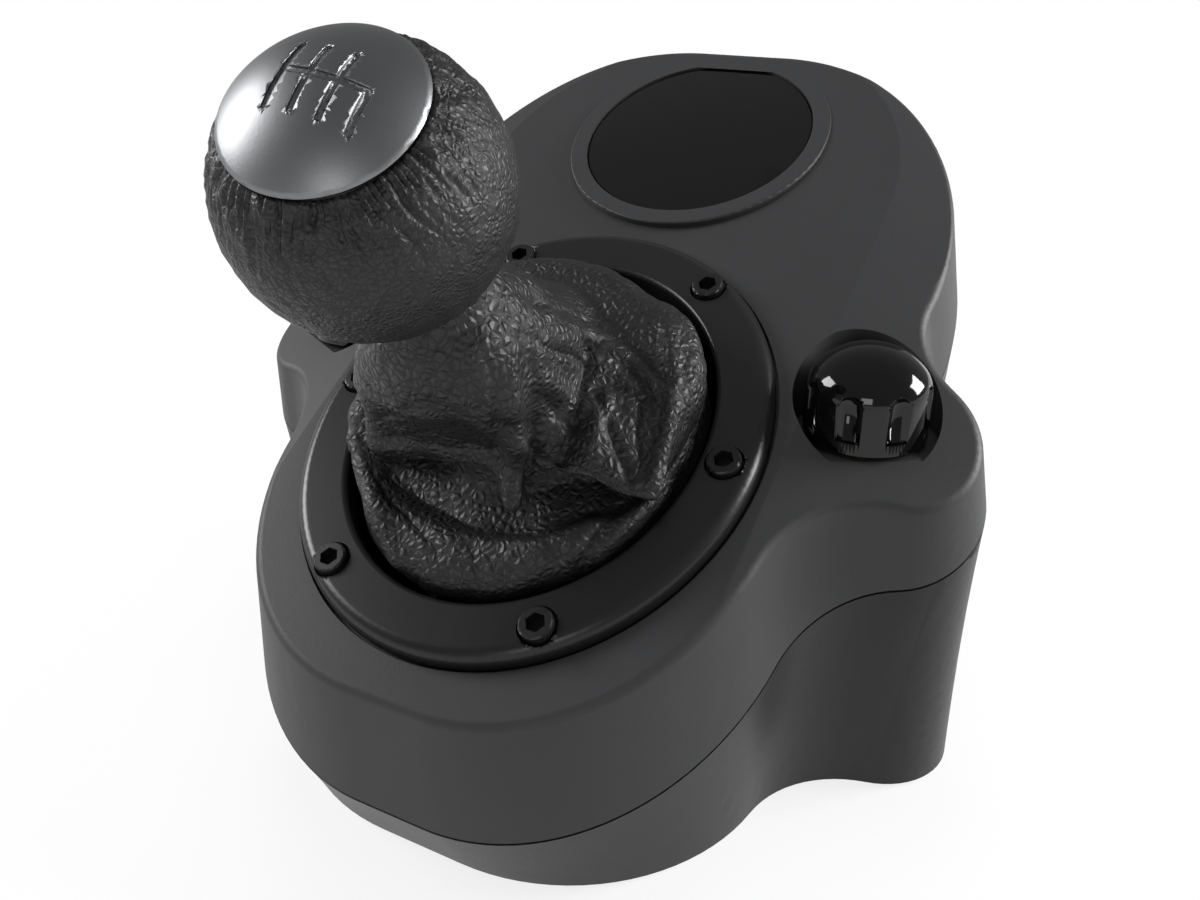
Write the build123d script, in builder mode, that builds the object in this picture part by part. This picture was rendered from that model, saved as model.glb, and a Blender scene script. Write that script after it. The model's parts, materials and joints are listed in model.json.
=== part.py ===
from build123d import *
import os
from math import atan2, cos, degrees, hypot, radians, sin, sqrt, tan

# A desk-clamped gear shifter with an H-pattern gate: a two-part housing with a tilted deck,
# a lever on a gimbal under a leather gaiter, and two screw clamps in the side lobes.
# Frame: origin on the base plate's underside below the lever opening, X to the driver's right,
# Y away from the driver, Z up. The strips under the plate are what the object stands on. Millimetres.

os.makedirs("parts", exist_ok=True)

# Deck and shells
deck_tilt = 30.0
ring_height = 81.0
plateau_drop = 5.3
seam_drop = 28.5
wall = 2.6
roof_thickness = 3.0
rim_fillet = 2.4
cut_over = 1.0
front_valley_radius = 25.0
rear_valley_radius = 14.0

# Each level of the body outline: front corner arcs, side lobes and rear corner arcs, in plan
rim_front_flat, rim_front_radius, rim_front_y = 8.0, 49.5, -4.5
rim_lobe_x, rim_lobe_y, rim_lobe_radius = 72.3, 23.5, 14.5
rim_rear_flat, rim_rear_radius, rim_rear_y = 11.5, 58.0, 58.0
seam_front_flat, seam_front_radius, seam_front_y = 8.0, 53.6, -1.0
seam_lobe_x, seam_lobe_y, seam_lobe_radius = 74.0, 27.5, 16.6
seam_rear_flat, seam_rear_radius, seam_rear_y = 11.5, 61.5, 61.5
base_front_flat, base_front_radius, base_front_y = 10.0, 47.5, 1.5
base_lobe_x, base_lobe_y, base_lobe_radius = 73.0, 33.0, 17.0
base_rear_flat, base_rear_radius, base_rear_y = 11.5, 57.5, 60.0

# Shoulders that fall away outside the flat plateau
crease_half_width = 53.8
crease_rear_y = 117.5
crease_front_y = -90.0
crease_corner = 46.0
shoulder_slope = 15.0
shoulder_reach = 45.0
shoulder_depth = 60.0

# Bezel, its recess and screws
bezel_outer_x, bezel_outer_y = 51.0, 56.0
bezel_inner_x, bezel_inner_y = 39.3, 44.0
bezel_top_drop = 1.3
bezel_thickness = 4.7
bezel_outer_round = 3.0
bezel_inner_round = 1.2
bezel_recess_gap = 0.7
gaiter_flange_thickness, clamp_gap = 1.2, 0.1
screw_side_x = 44.6
screw_end_x, screw_end_y = 24.2, 43.2
head_radius, head_height = 3.45, 4.0
head_pocket_gap = 0.6
socket_radius, socket_depth = 2.1, 2.4
head_edge = 0.35
shank_radius, shank_length = 1.9, 10.4
thread_gap, hole_gap = 0.05, 0.25
deck_pad_thickness = 3.4
deck_pad_margin = 3.0
opening_margin = 1.5
retainer_thickness, retainer_outer_x, retainer_outer_y = 3.0, 49.5, 53.0

# Badge boss and disc; the boss leans back, so it fades into the plateau at the rear
badge_y = 85.3
badge_disc_radius, badge_disc_thickness = 28.4, 2.0
badge_disc_gap, badge_disc_crown = 0.5, 0.6
badge_boss_radius, badge_boss_height = 33.3, 1.5
badge_boss_edge, badge_lean = 0.5, 1.6
badge_disc_sink = 0.5

# Clamps: pocket, knob, screw, jaw
clamp_x, clamp_y = 64.5, 26.8
pocket_radius, pocket_wall = 15.0, 2.2
pocket_centre_height = 87.1
pocket_floor_drop, pocket_floor = 7.9, 3.0
grip_radius, grip_top_rise, grip_floor_drop = 12.5, 12.0, 6.8
grip_dome_start, grip_corner_radius = 2.6, 7.0
flute_count, flute_radius, flute_depth = 8, 2.9, 1.5
flute_top_rise, flute_foot_drop = 3.2, 4.4
grip_hub_radius, grip_hollow_radius, grip_hollow_depth = 6.2, 9.4, 7.0
clamp_screw_radius, clamp_screw_rise, thread_spare = 4.0, 9.0, 0.5
run_gap = 0.05
bush_radius, bush_flange_radius, bush_flange_thickness = 6.0, 8.4, 1.0
washer_radius, washer_thickness, washer_gap = 7.2, 1.6, 0.15
post_half, post_top = 7.0, 52.0
post_bore_gap = 0.4
jaw_nut_half, jaw_nut_height = 5.6, 8.0
arm_inner_x, arm_outer_x, arm_rear_y = 50.0, 63.5, 62.0
foot_height, foot_round = 6.0, 2.0
guide_gap, guide_wall, guide_foot, guide_top = 0.3, 2.4, 7.2, 55.0
pad_thickness, pad_margin, pad_front_y = 1.6, 1.4, 37.0
jaw_travel = 36.0
plate_slot_gap = 0.6
rib_thickness = 2.4
web_reach, web_centre_y = 26.0, 30.0

# Lever and gimbal, as distances from the lever's pivot along the lever
pivot_depth = 40.0
knob_lean = 35.3
knob_distance = 110.8
tube_radius, tube_foot, tube_top = 7.0, 4.0, 93.0
rod_radius, rod_foot, rod_top = 5.0, -12.0, 117.0
reverse_travel = 5.0
block_half_x, block_half_y, block_half_z, block_edge = 11.0, 10.0, 10.0, 1.0
tail_radius, tail_foot = 3.4, -27.0
pin_radius, pin_foot = 1.4, -38.0
gate_top, gate_thickness = -34.0, 3.0
gate_half_x, gate_half_y = 19.5, 17.5
select_swing, shift_swing = 9.0, 7.0
gate_slot_gap = 0.45
axle_radius, axle_inner, axle_left_end, axle_right_end = 3.0, 7.0, 16.2, 20.5
yoke_outer_x, yoke_outer_y, yoke_half_z, yoke_round = 16.5, 17.0, 5.0, 2.0
yoke_inner_x, yoke_inner_y = 11.6, 12.6
yoke_pin_radius, yoke_pin_inner, yoke_pin_front, yoke_pin_rear = 3.0, 13.0, 29.5, 25.0
tower_half_x, tower_half_y, tower_wall = 20.0, 18.0, 4.0
tower_side_wall, tower_top, tower_ear_top, tower_ear_half = 3.0, -12.0, 7.5, 9.0
window_half_y, window_top, window_foot = 9.0, -16.0, -28.0
ledge_thickness, ledge_half_x, ledge_half_y = 4.0, 14.0, 12.0
tower_foot_thickness, tower_foot_half_x = 3.0, 31.0
tower_foot_front, tower_foot_rear, tower_foot_length = 26.0, 78.0, 12.0
tower_screw_x = 27.0
tower_screw_radius, tower_screw_head, tower_screw_head_height, tower_screw_length = 1.5, 2.8, 2.0, 5.4
gate_screw_x, gate_screw_y, gate_screw_length = 16.6, 14.6, 6.0
gate_screw_radius, gate_screw_head, gate_screw_head_height = 1.2, 2.1, 1.5
sensor_half, sensor_depth, sensor_side_half = 7.5, 6.0, 4.8
sensor_bore_gap = 0.1
switch_half_x, switch_length_y, switch_height, switch_near = 5.0, 5.0, 9.9, 6.2
switch_button_radius, switch_button_reach, switch_button_drop = 1.0, 0.8, 16.0
collar_foot, collar_radius, collar_edge = 80.0, 9.5, 0.6
reverse_wire, reverse_coil_radius, reverse_turns = 0.8, 6.3, 5
select_wire, select_coil_radius, select_turns, select_pitch = 0.8, 4.4, 3, 1.5
select_spring_gap, select_clip_radius, select_clip_thickness = 0.4, 4.8, 1.0
press_gap = 0.3

# Gaiter, as sections from the bezel to the neck
gaiter_skin, gaiter_gap = 1.4, 0.3
gaiter_root_x, gaiter_root_y = 38.2, 42.9
gaiter_roll_x, gaiter_roll_y, gaiter_roll_height = 37.8, 42.0, 1.0
gaiter_top_x, gaiter_top_y, gaiter_top_height = 34.5, 38.0, 6.0
gaiter_crease_x, gaiter_crease_y, gaiter_crease_height = 29.0, 31.0, 7.5
gaiter_flap_x, gaiter_flap_y, gaiter_flap_height = 33.5, 31.0, 9.0
gaiter_flap_lift = 3.0
gaiter_shoulder_x, gaiter_shoulder_y, gaiter_shoulder_height = 24.0, 23.5, 22.0
gaiter_flap_aside, gaiter_flap_back = 2.0, 2.0
gaiter_shoulder_back = -2.0
gaiter_neck_radius, gaiter_neck_foot = 11.2, 82.0

# Knob; its cap faces the driver's side a little
knob_radius = 24.0
leather_thickness, leather_gap = 1.5, 0.1
cap_lean, cap_pitch, cap_half_angle = 9.0, 3.0, 41.2
cap_proud, cap_thickness, cap_gap = 0.3, 1.6, 0.3
cap_groove_depth, cap_groove_width = 0.35, 1.1
cap_lane_spacing, cap_lane_top, cap_lane_foot, cap_bar_y = 4.4, 6.6, -5.9, 1.0
recess_radius, recess_spare = 12.5, 2.5
leather_mouth_radius = 13.0
spring_pocket_radius, spring_pocket_floor = 7.6, 106.0
nut_seat, nut_half, nut_height, nut_pocket_radius = 112.0, 5.6, 4.0, 7.6

# Base, feet, fasteners and electrics
plate_thickness, plate_gap = 3.0, 0.3
strip_thickness, strip_depth, strip_round = 1.0, 16.0, 4.0
strip_rows = ((-27.0, 34.0), (2.0, 84.0), (44.0, 84.0), (95.0, 60.0))
boss_radius, boss_bore = 3.8, 1.45
base_screw_places = ((10.0, -38.0), (50.0, -6.0), (58.0, 79.0), (42.0, 99.0))
base_screw_radius, base_head_radius, base_head_height, base_screw_length = 1.4, 2.8, 1.8, 12.0
base_boss_height, boss_floor = 16.0, 2.0
shell_screw_places = ((39.5, -30.0), (46.0, 72.0), (28.0, 101.0))
shell_screw_radius, shell_head_radius, shell_head_height = 1.4, 2.8, 2.4
shell_screw_grip, shell_screw_bite = 4.0, 8.0
shell_post_radius, shell_channel_gap = 4.6, 0.3
insert_x, insert_y = 34.0, 64.0
insert_radius, insert_bore, insert_length = 4.2, 2.5, 8.0
insert_boss_radius, insert_boss_height = 6.6, 9.0
board_half_x, board_half_y, board_thickness = 21.5, 12.0, 1.6
board_y, board_height = 98.0, 12.0
board_post_radius, board_post_x, board_post_y = 3.0, 17.5, 8.0
connector_half_x, connector_half_y, connector_height, connector_spread = 6.0, 3.0, 5.0, 7.0
board_screw_radius, board_screw_head, board_screw_head_height, board_screw_bite = 1.1, 2.0, 1.4, 5.0
inlet_height, inlet_body_radius, inlet_bore, inlet_flange_radius = 18.0, 4.6, 2.6, 6.4
inlet_flange_y, inlet_flange_thickness, inlet_inner_y = 116.9, 1.3, 110.0
inlet_gap = 0.2
seam_step, seam_tongue, seam_tongue_height, seam_step_height = 1.3, 1.5, 2.0, 2.3
seam_gap = 0.5

# Derived frames
tilt = radians(deck_tilt)
deck_normal = Vector(0, -sin(tilt), cos(tilt))
ring_centre = Vector(0, 0, ring_height)
pivot = ring_centre - deck_normal * pivot_depth
lean = radians(knob_lean)
lever_axis = Vector(0, -sin(lean), cos(lean))
knob_centre = pivot + lever_axis * knob_distance
stretch = 1 / cos(tilt)


def deck(height):
    """Plane parallel to the deck, centred on the lever opening, height over the screw heads."""
    return Plane(origin=ring_centre + deck_normal * height, x_dir=(1, 0, 0), z_dir=deck_normal)


def deck_in_plan(height):
    """The same plane, with its origin straight above the frame's origin."""
    return Plane(origin=(0, 0, ring_height + height * stretch), x_dir=(1, 0, 0), z_dir=deck_normal)


def on_lever(distance):
    """Plane square to the lever, at a distance from its pivot."""
    return Plane(origin=pivot + lever_axis * distance, x_dir=(1, 0, 0), z_dir=lever_axis)


def touching_centre(near, near_radius, far, far_radius, blend_radius):
    """Centre of the hollow arc that touches two circles from outside."""
    to_near = near_radius + blend_radius
    to_far = far_radius + blend_radius
    span = hypot(far[0] - near[0], far[1] - near[1])
    along = (span ** 2 + to_near ** 2 - to_far ** 2) / (2 * span)
    aside = sqrt(to_near ** 2 - along ** 2)
    ux, uy = (far[0] - near[0]) / span, (far[1] - near[1]) / span
    return near[0] + ux * along + uy * aside, near[1] + uy * along - ux * aside


def bearing(centre, point):
    return degrees(atan2(point[1] - centre[1], point[0] - centre[0]))


rim_level = (rim_front_flat, rim_front_radius, rim_front_y, rim_lobe_x, rim_lobe_y, rim_lobe_radius,
             rim_rear_flat, rim_rear_radius, rim_rear_y)
seam_level = (seam_front_flat, seam_front_radius, seam_front_y, seam_lobe_x, seam_lobe_y, seam_lobe_radius,
              seam_rear_flat, seam_rear_radius, seam_rear_y)
base_level = (base_front_flat, base_front_radius, base_front_y, base_lobe_x, base_lobe_y, base_lobe_radius,
              base_rear_flat, base_rear_radius, base_rear_y)


def body_outline(level, inset=0.0):
    """Closed outline in plan: front arcs, hollow valleys, side lobes and rear arcs, all tangent."""
    front_flat, front_radius, front_y, lobe_x, lobe_y, lobe_radius, rear_flat, rear_radius, rear_y = level
    front, lobe, rear = (front_flat, front_y), (lobe_x, lobe_y), (rear_flat, rear_y)
    valley = touching_centre(front, front_radius, lobe, lobe_radius, front_valley_radius)
    dip = touching_centre(lobe, lobe_radius, rear, rear_radius, rear_valley_radius)
    front_turn = bearing(front, valley)
    valley_start, valley_end = bearing(valley, front), bearing(valley, lobe)
    lobe_start, lobe_end = bearing(lobe, valley), bearing(lobe, dip)
    dip_start, dip_end = bearing(dip, lobe), bearing(dip, rear)
    rear_start = bearing(rear, dip)
    half, full = 180.0, 360.0
    with BuildLine() as edge:
        Line((-front_flat, front_y - front_radius + inset), (front_flat, front_y - front_radius + inset))
        CenterArc(front, front_radius - inset, -half / 2, front_turn + half / 2)
        valley_turn = (valley_end - valley_start - half) % full - half
        CenterArc(valley, front_valley_radius + inset, valley_start, valley_turn)
        CenterArc(lobe, lobe_radius - inset, lobe_start, lobe_end - lobe_start)
        CenterArc(dip, rear_valley_radius + inset, dip_start, (dip_end - dip_start - half) % full - half)
        CenterArc(rear, rear_radius - inset, rear_start, half / 2 - rear_start)
        Line((rear_flat, rear_y + rear_radius - inset), (-rear_flat, rear_y + rear_radius - inset))
        mirror(edge.edges().filter_by(GeomType.CIRCLE), about=Plane.YZ)
    make_face(edge.edges())


def tilted_outline(level, inset=0.0, mode=Mode.ADD):
    """The plan outline laid on a tilted plane."""
    with BuildSketch(Plane.XY) as plan:
        body_outline(level, inset)
    add(scale(plan.sketch, by=(1, stretch, 1), mode=Mode.PRIVATE), mode=mode)


# Heights and places that several pieces share
bezel_screw_places = ((screw_side_x, 0), (-screw_side_x, 0), (screw_end_x, screw_end_y),
                      (-screw_end_x, screw_end_y), (screw_end_x, -screw_end_y), (-screw_end_x, -screw_end_y))
bezel_floor = bezel_top_drop + bezel_thickness
deck_floor = bezel_floor + gaiter_flange_thickness + 2 * clamp_gap
pad_floor = deck_floor + deck_pad_thickness
pocket_floor_top = pocket_centre_height - pocket_floor_drop
pocket_floor_foot = pocket_floor_top - pocket_floor
grip_foot = pocket_centre_height - grip_floor_drop
grip_top = pocket_centre_height + grip_top_rise
tall = grip_top + pocket_radius
jaw_post_side = 2 * post_half
guide_inner_side = jaw_post_side + 2 * guide_gap
guide_outer_side = guide_inner_side + 2 * guide_wall
clamp_screw_end = post_top - jaw_nut_height - jaw_travel - thread_spare
arm_slot_centre = ((arm_inner_x + arm_outer_x) / 2, (clamp_y - post_half + arm_rear_y) / 2)
arm_length = arm_rear_y - clamp_y + post_half
tower_feet = (tower_foot_front, tower_foot_rear)
tower_screw_places = [(x, y) for x in (-tower_screw_x, tower_screw_x) for y in tower_feet]
gate_screw_places = [(x, y) for x in (-gate_screw_x, gate_screw_x) for y in (-gate_screw_y, gate_screw_y)]
board_rows = (board_y - board_post_y, board_y + board_post_y)
board_places = [(x, y) for x in (-board_post_x, board_post_x) for y in board_rows]
recess_floor = tube_top + reverse_travel + recess_spare


def both_sides(places):
    """The same places on the right and on the left."""
    return [(x, y) for x, y in places] + [(-x, y) for x, y in places]


def webs(places, reach):
    """Webs that run from bosses out towards the wall, as (middle of the web, its turn)."""
    lines = []
    for x, y in both_sides(places):
        turn = bearing((0, web_centre_y), (x, y))
        away = Vector(cos(radians(turn)), sin(radians(turn)))
        lines.append(Location((x + away.X * reach / 2, y + away.Y * reach / 2), turn))
    return lines


# The shoulders as a roof that both shell skins are cut by
shoulder_fall = shoulder_reach * tan(radians(shoulder_slope))


def crease_outline(reach):
    with BuildLine() as edge:
        half = crease_half_width + reach
        corner = crease_corner + reach
        corner_y = crease_rear_y - crease_corner
        corner_x = crease_half_width - crease_corner
        Line((-half, crease_front_y - reach), (half, crease_front_y - reach))
        Line((half, crease_front_y - reach), (half, corner_y))
        CenterArc((corner_x, corner_y), corner, 0, 90)
        Line((corner_x, corner_y + corner), (-corner_x, corner_y + corner))
        CenterArc((-corner_x, corner_y), corner, 90, 90)
        Line((-half, corner_y), (-half, crease_front_y - reach))
    make_face(edge.edges())
    scale(by=(1, stretch, 1))


with BuildPart() as shoulders:
    with BuildSketch(deck_in_plan(-plateau_drop)):
        crease_outline(0)
    with BuildSketch(deck_in_plan(-plateau_drop - shoulder_fall)):
        crease_outline(shoulder_reach)
    loft(ruled=True)
    with BuildSketch(deck_in_plan(-plateau_drop - shoulder_fall)):
        crease_outline(shoulder_reach)
    extrude(amount=-shoulder_depth)

# Outer form of the upper shell, with its rim rounded
with BuildPart() as upper_form:
    with BuildSketch(deck_in_plan(-plateau_drop)):
        tilted_outline(rim_level)
    with BuildSketch(deck_in_plan(-seam_drop)):
        tilted_outline(seam_level)
    loft(ruled=True)
    add(shoulders.part, mode=Mode.INTERSECT)
    top_limit, side_limit = cos(radians(2 * shoulder_slope)), cos(radians(45))
    top_faces = faces().filter_by(lambda face: face.normal_at().dot(deck_normal) > top_limit)
    side_faces = faces().filter_by(lambda face: abs(face.normal_at().dot(deck_normal)) < side_limit)
    side_edges = side_faces.edges()
    rim_edges = [edge for edge in top_faces.edges() if any(edge.is_same(other) for other in side_edges)]
    fillet(rim_edges, radius=rim_fillet)

with BuildPart() as upper_cavity:
    with BuildSketch(deck_in_plan(-plateau_drop - roof_thickness)):
        tilted_outline(rim_level, wall)
    with BuildSketch(deck_in_plan(-seam_drop)):
        tilted_outline(seam_level, wall)
    loft(ruled=True)
    add(shoulders.part.moved(Location(deck_normal * -roof_thickness)), mode=Mode.INTERSECT)

# The form halfway through the wall, which trims what stands inside
with BuildPart() as upper_core:
    with BuildSketch(deck_in_plan(-plateau_drop - roof_thickness / 2)):
        tilted_outline(rim_level, wall / 2)
    with BuildSketch(deck_in_plan(-seam_drop)):
        tilted_outline(seam_level, wall / 2)
    loft(ruled=True)
    add(shoulders.part.moved(Location(deck_normal * -roof_thickness / 2)), mode=Mode.INTERSECT)

# Pad under the bezel, pocket cups and screw posts inside the upper shell
with BuildPart() as upper_inner:
    with BuildSketch(deck(-pad_floor)):
        pad_reach = bezel_recess_gap + deck_pad_margin
        Ellipse(bezel_outer_x + pad_reach, bezel_outer_y + pad_reach)
    extrude(amount=pad_floor - plateau_drop - rim_fillet / 2)
    with BuildSketch(Plane.XY.offset(pocket_floor_foot)):
        with Locations(both_sides([(clamp_x, clamp_y)])):
            Circle(pocket_radius + pocket_wall)
    extrude(amount=tall - pocket_floor_foot)
    with BuildSketch(Plane.XY):
        with Locations(both_sides(shell_screw_places)):
            Circle(boss_radius)
    extrude(amount=2 * tall)
    add(upper_core.part, mode=Mode.INTERSECT)

badge_raise = badge_boss_height / 2
uphill = Vector(0, cos(tilt), sin(tilt))
badge_axis = deck_normal * cos(radians(badge_lean)) + uphill * sin(radians(badge_lean))
badge_origin = deck_in_plan(badge_raise - plateau_drop).from_local_coords(Vector(0, badge_y * stretch, 0))


def badge(height):
    """Plane of the badge boss, height over its top."""
    return Plane(origin=badge_origin + badge_axis * height, x_dir=(1, 0, 0), z_dir=badge_axis)


with BuildPart() as badge_boss:
    with BuildSketch(badge(-badge_boss_height - badge_disc_thickness)):
        Circle(badge_boss_radius)
    extrude(amount=badge_boss_height + badge_disc_thickness)
    fillet(faces().sort_by(Axis(badge_origin, badge_axis))[-1].edges(), radius=badge_boss_edge)

with BuildPart() as upper_housing:
    add(upper_form.part)
    add(upper_cavity.part, mode=Mode.SUBTRACT)
    add(upper_inner.part)
    add(badge_boss.part)
    with BuildSketch(badge(0)):
        Circle(badge_disc_radius + badge_disc_gap)
    extrude(amount=-badge_disc_thickness - badge_disc_sink, mode=Mode.SUBTRACT)
    with BuildSketch(deck(-deck_floor)):
        Ellipse(bezel_outer_x + bezel_recess_gap, bezel_outer_y + bezel_recess_gap)
    extrude(amount=deck_floor + cut_over, mode=Mode.SUBTRACT)
    with BuildSketch(deck(-pad_floor - cut_over)):
        Ellipse(bezel_inner_x + opening_margin, bezel_inner_y + opening_margin)
        with Locations(bezel_screw_places):
            Circle(shank_radius + hole_gap)
    extrude(amount=pad_floor + 2 * cut_over, mode=Mode.SUBTRACT)
    with BuildSketch(Plane.XY.offset(pocket_floor_top)):
        with Locations(both_sides([(clamp_x, clamp_y)])):
            Circle(pocket_radius)
    extrude(amount=tall - pocket_floor_top, mode=Mode.SUBTRACT)
    with BuildSketch(Plane.XY.offset(pocket_floor_foot - cut_over)):
        with Locations(both_sides([(clamp_x, clamp_y)])):
            Circle(bush_radius)
    extrude(amount=pocket_floor + 2 * cut_over, mode=Mode.SUBTRACT)
    with BuildSketch(deck_in_plan(-seam_drop)):
        tilted_outline(seam_level, seam_step)
        tilted_outline(seam_level, wall + seam_tongue, Mode.SUBTRACT)
    extrude(amount=seam_step_height, dir=(0, 0, 1), mode=Mode.SUBTRACT)
    for spot in both_sides(shell_screw_places):
        seam_there = ring_height + spot[1] * tan(tilt) - seam_drop * stretch
        with BuildSketch(Plane.XY.offset(seam_there - shell_screw_grip)):
            with Locations(spot):
                Circle(shell_screw_radius + thread_gap)
        extrude(amount=shell_screw_grip + shell_screw_bite + cut_over, mode=Mode.SUBTRACT)

# Outer form of the lower shell, and its cavity
lower_rise = seam_drop + seam_gap * cos(tilt)
with BuildPart() as lower_form:
    with BuildSketch(deck_in_plan(-lower_rise)):
        tilted_outline(seam_level)
    with BuildSketch(Plane.XY):
        body_outline(base_level)
    loft(ruled=True)

with BuildPart() as lower_cavity:
    with BuildSketch(deck_in_plan(-lower_rise)):
        tilted_outline(seam_level, wall)
    with BuildSketch(Plane.XY):
        body_outline(base_level, wall)
    loft(ruled=True)

with BuildPart() as lower_core:
    with BuildSketch(deck_in_plan(-lower_rise)):
        tilted_outline(seam_level, wall / 2)
    with BuildSketch(Plane.XY):
        body_outline(base_level, wall / 2)
    loft(ruled=True)

with BuildPart() as lower_inner:
    with BuildSketch(Plane.XY.offset(guide_foot)):
        with Locations(both_sides([(clamp_x, clamp_y)])):
            Rectangle(guide_outer_side, guide_outer_side)
        with Locations(both_sides([(clamp_x + post_half + tall / 2, clamp_y)])):
            Rectangle(tall, rib_thickness)
    extrude(amount=guide_top - guide_foot)
    with BuildSketch(Plane.XY.offset(plate_thickness)):
        with Locations(both_sides(base_screw_places)):
            Circle(boss_radius)
        with Locations(webs(base_screw_places, web_reach)):
            Rectangle(web_reach, rib_thickness)
    extrude(amount=base_boss_height - plate_thickness)
    with BuildSketch(Plane.XY.offset(plate_thickness)):
        with Locations(both_sides(shell_screw_places)):
            Circle(shell_post_radius)
        with Locations(webs(shell_screw_places, web_reach)):
            Rectangle(web_reach, rib_thickness)
    extrude(amount=2 * tall)
    add(lower_core.part, mode=Mode.INTERSECT)

with BuildPart() as lower_housing:
    add(lower_form.part)
    add(lower_cavity.part, mode=Mode.SUBTRACT)
    add(lower_inner.part)
    with BuildSketch(Plane.XY.offset(guide_foot - cut_over)):
        with Locations(both_sides([(clamp_x, clamp_y)])):
            Rectangle(guide_inner_side, guide_inner_side)
    extrude(amount=guide_top - guide_foot + 2 * cut_over, mode=Mode.SUBTRACT)
    with BuildSketch(Plane.XY):
        with Locations(both_sides(base_screw_places)):
            Circle(boss_bore)
    extrude(amount=base_boss_height - boss_floor, mode=Mode.SUBTRACT)
    with BuildSketch(deck_in_plan(-lower_rise)):
        tilted_outline(seam_level, seam_tongue)
        tilted_outline(seam_level, wall, Mode.SUBTRACT)
    extrude(amount=seam_tongue_height + seam_gap, dir=(0, 0, 1))
    with BuildSketch(Plane.XZ.offset(-inlet_flange_y)):
        with Locations((0, inlet_height)):
            Circle(inlet_flange_radius + inlet_gap)
    extrude(amount=-tall, mode=Mode.SUBTRACT)
    with BuildSketch(Plane.XZ.offset(-inlet_inner_y)):
        with Locations((0, inlet_height)):
            Circle(inlet_body_radius + thread_gap)
    extrude(amount=-tall, mode=Mode.SUBTRACT)
    for spot in both_sides(shell_screw_places):
        seam_there = ring_height + spot[1] * tan(tilt) - lower_rise * stretch
        with BuildSketch(Plane.XY):
            with Locations(spot):
                Circle(shell_head_radius + shell_channel_gap)
        extrude(amount=seam_there - shell_screw_grip, mode=Mode.SUBTRACT)
        with BuildSketch(Plane.XY):
            with Locations(spot):
                Circle(shell_screw_radius + hole_gap)
        extrude(amount=seam_there + shell_screw_grip, mode=Mode.SUBTRACT)

# Seen pieces on the deck
with BuildPart() as bezel_ring:
    with BuildSketch(deck(-bezel_floor)):
        Ellipse(bezel_outer_x, bezel_outer_y)
        Ellipse(bezel_inner_x, bezel_inner_y, mode=Mode.SUBTRACT)
    extrude(amount=bezel_thickness)
    bezel_edges = faces().sort_by(Axis(ring_centre, deck_normal))[-1].edges().sort_by(SortBy.LENGTH)
    fillet(bezel_edges[-1], radius=bezel_outer_round)
    fillet(edges().filter_by(lambda edge: edge.is_closed).group_by(Axis(ring_centre, deck_normal))[-1]
           .sort_by(SortBy.LENGTH)[0], radius=bezel_inner_round)
    with BuildSketch(deck(-head_height)):
        with Locations(bezel_screw_places):
            Circle(head_radius + head_pocket_gap)
    extrude(amount=head_height + cut_over, mode=Mode.SUBTRACT)
    with BuildSketch(deck(-bezel_floor - cut_over)):
        with Locations(bezel_screw_places):
            Circle(shank_radius + hole_gap)
    extrude(amount=bezel_thickness + 2 * cut_over, mode=Mode.SUBTRACT)

with BuildPart() as bezel_screws:
    with BuildSketch(deck(-head_height)):
        with Locations(bezel_screw_places):
            Circle(head_radius)
    extrude(amount=head_height)
    chamfer(edges().group_by(Axis(ring_centre, deck_normal))[-1], length=head_edge)
    with BuildSketch(deck(0)):
        with Locations(bezel_screw_places):
            RegularPolygon(radius=socket_radius, side_count=6)
    extrude(amount=-socket_depth, mode=Mode.SUBTRACT)
    with BuildSketch(deck(-head_height)):
        with Locations(bezel_screw_places):
            Circle(shank_radius)
    extrude(amount=-shank_length)

with BuildPart() as gaiter_retainer:
    with BuildSketch(deck(-pad_floor)):
        Ellipse(retainer_outer_x, retainer_outer_y)
        Ellipse(bezel_inner_x + opening_margin, bezel_inner_y + opening_margin, mode=Mode.SUBTRACT)
        with Locations(bezel_screw_places):
            Circle(shank_radius + thread_gap, mode=Mode.SUBTRACT)
    extrude(amount=-retainer_thickness)

badge_side = badge_axis.cross(Vector(1, 0, 0)) * -1
with BuildPart() as badge_disc:
    with BuildSketch(Plane(origin=badge_origin, x_dir=(1, 0, 0), z_dir=badge_side)):
        with BuildLine():
            low = -badge_disc_sink - badge_disc_thickness
            Line((0, -badge_disc_sink + badge_disc_crown), (0, low))
            Line((0, low), (badge_disc_radius, low))
            Line((badge_disc_radius, low), (badge_disc_radius, -badge_disc_sink))
            crown = (badge_disc_radius ** 2 + badge_disc_crown ** 2) / (2 * badge_disc_crown)
            RadiusArc((badge_disc_radius, -badge_disc_sink), (0, -badge_disc_sink + badge_disc_crown), -crown)
        make_face()
    revolve(axis=Axis(badge_origin, badge_axis))

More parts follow.
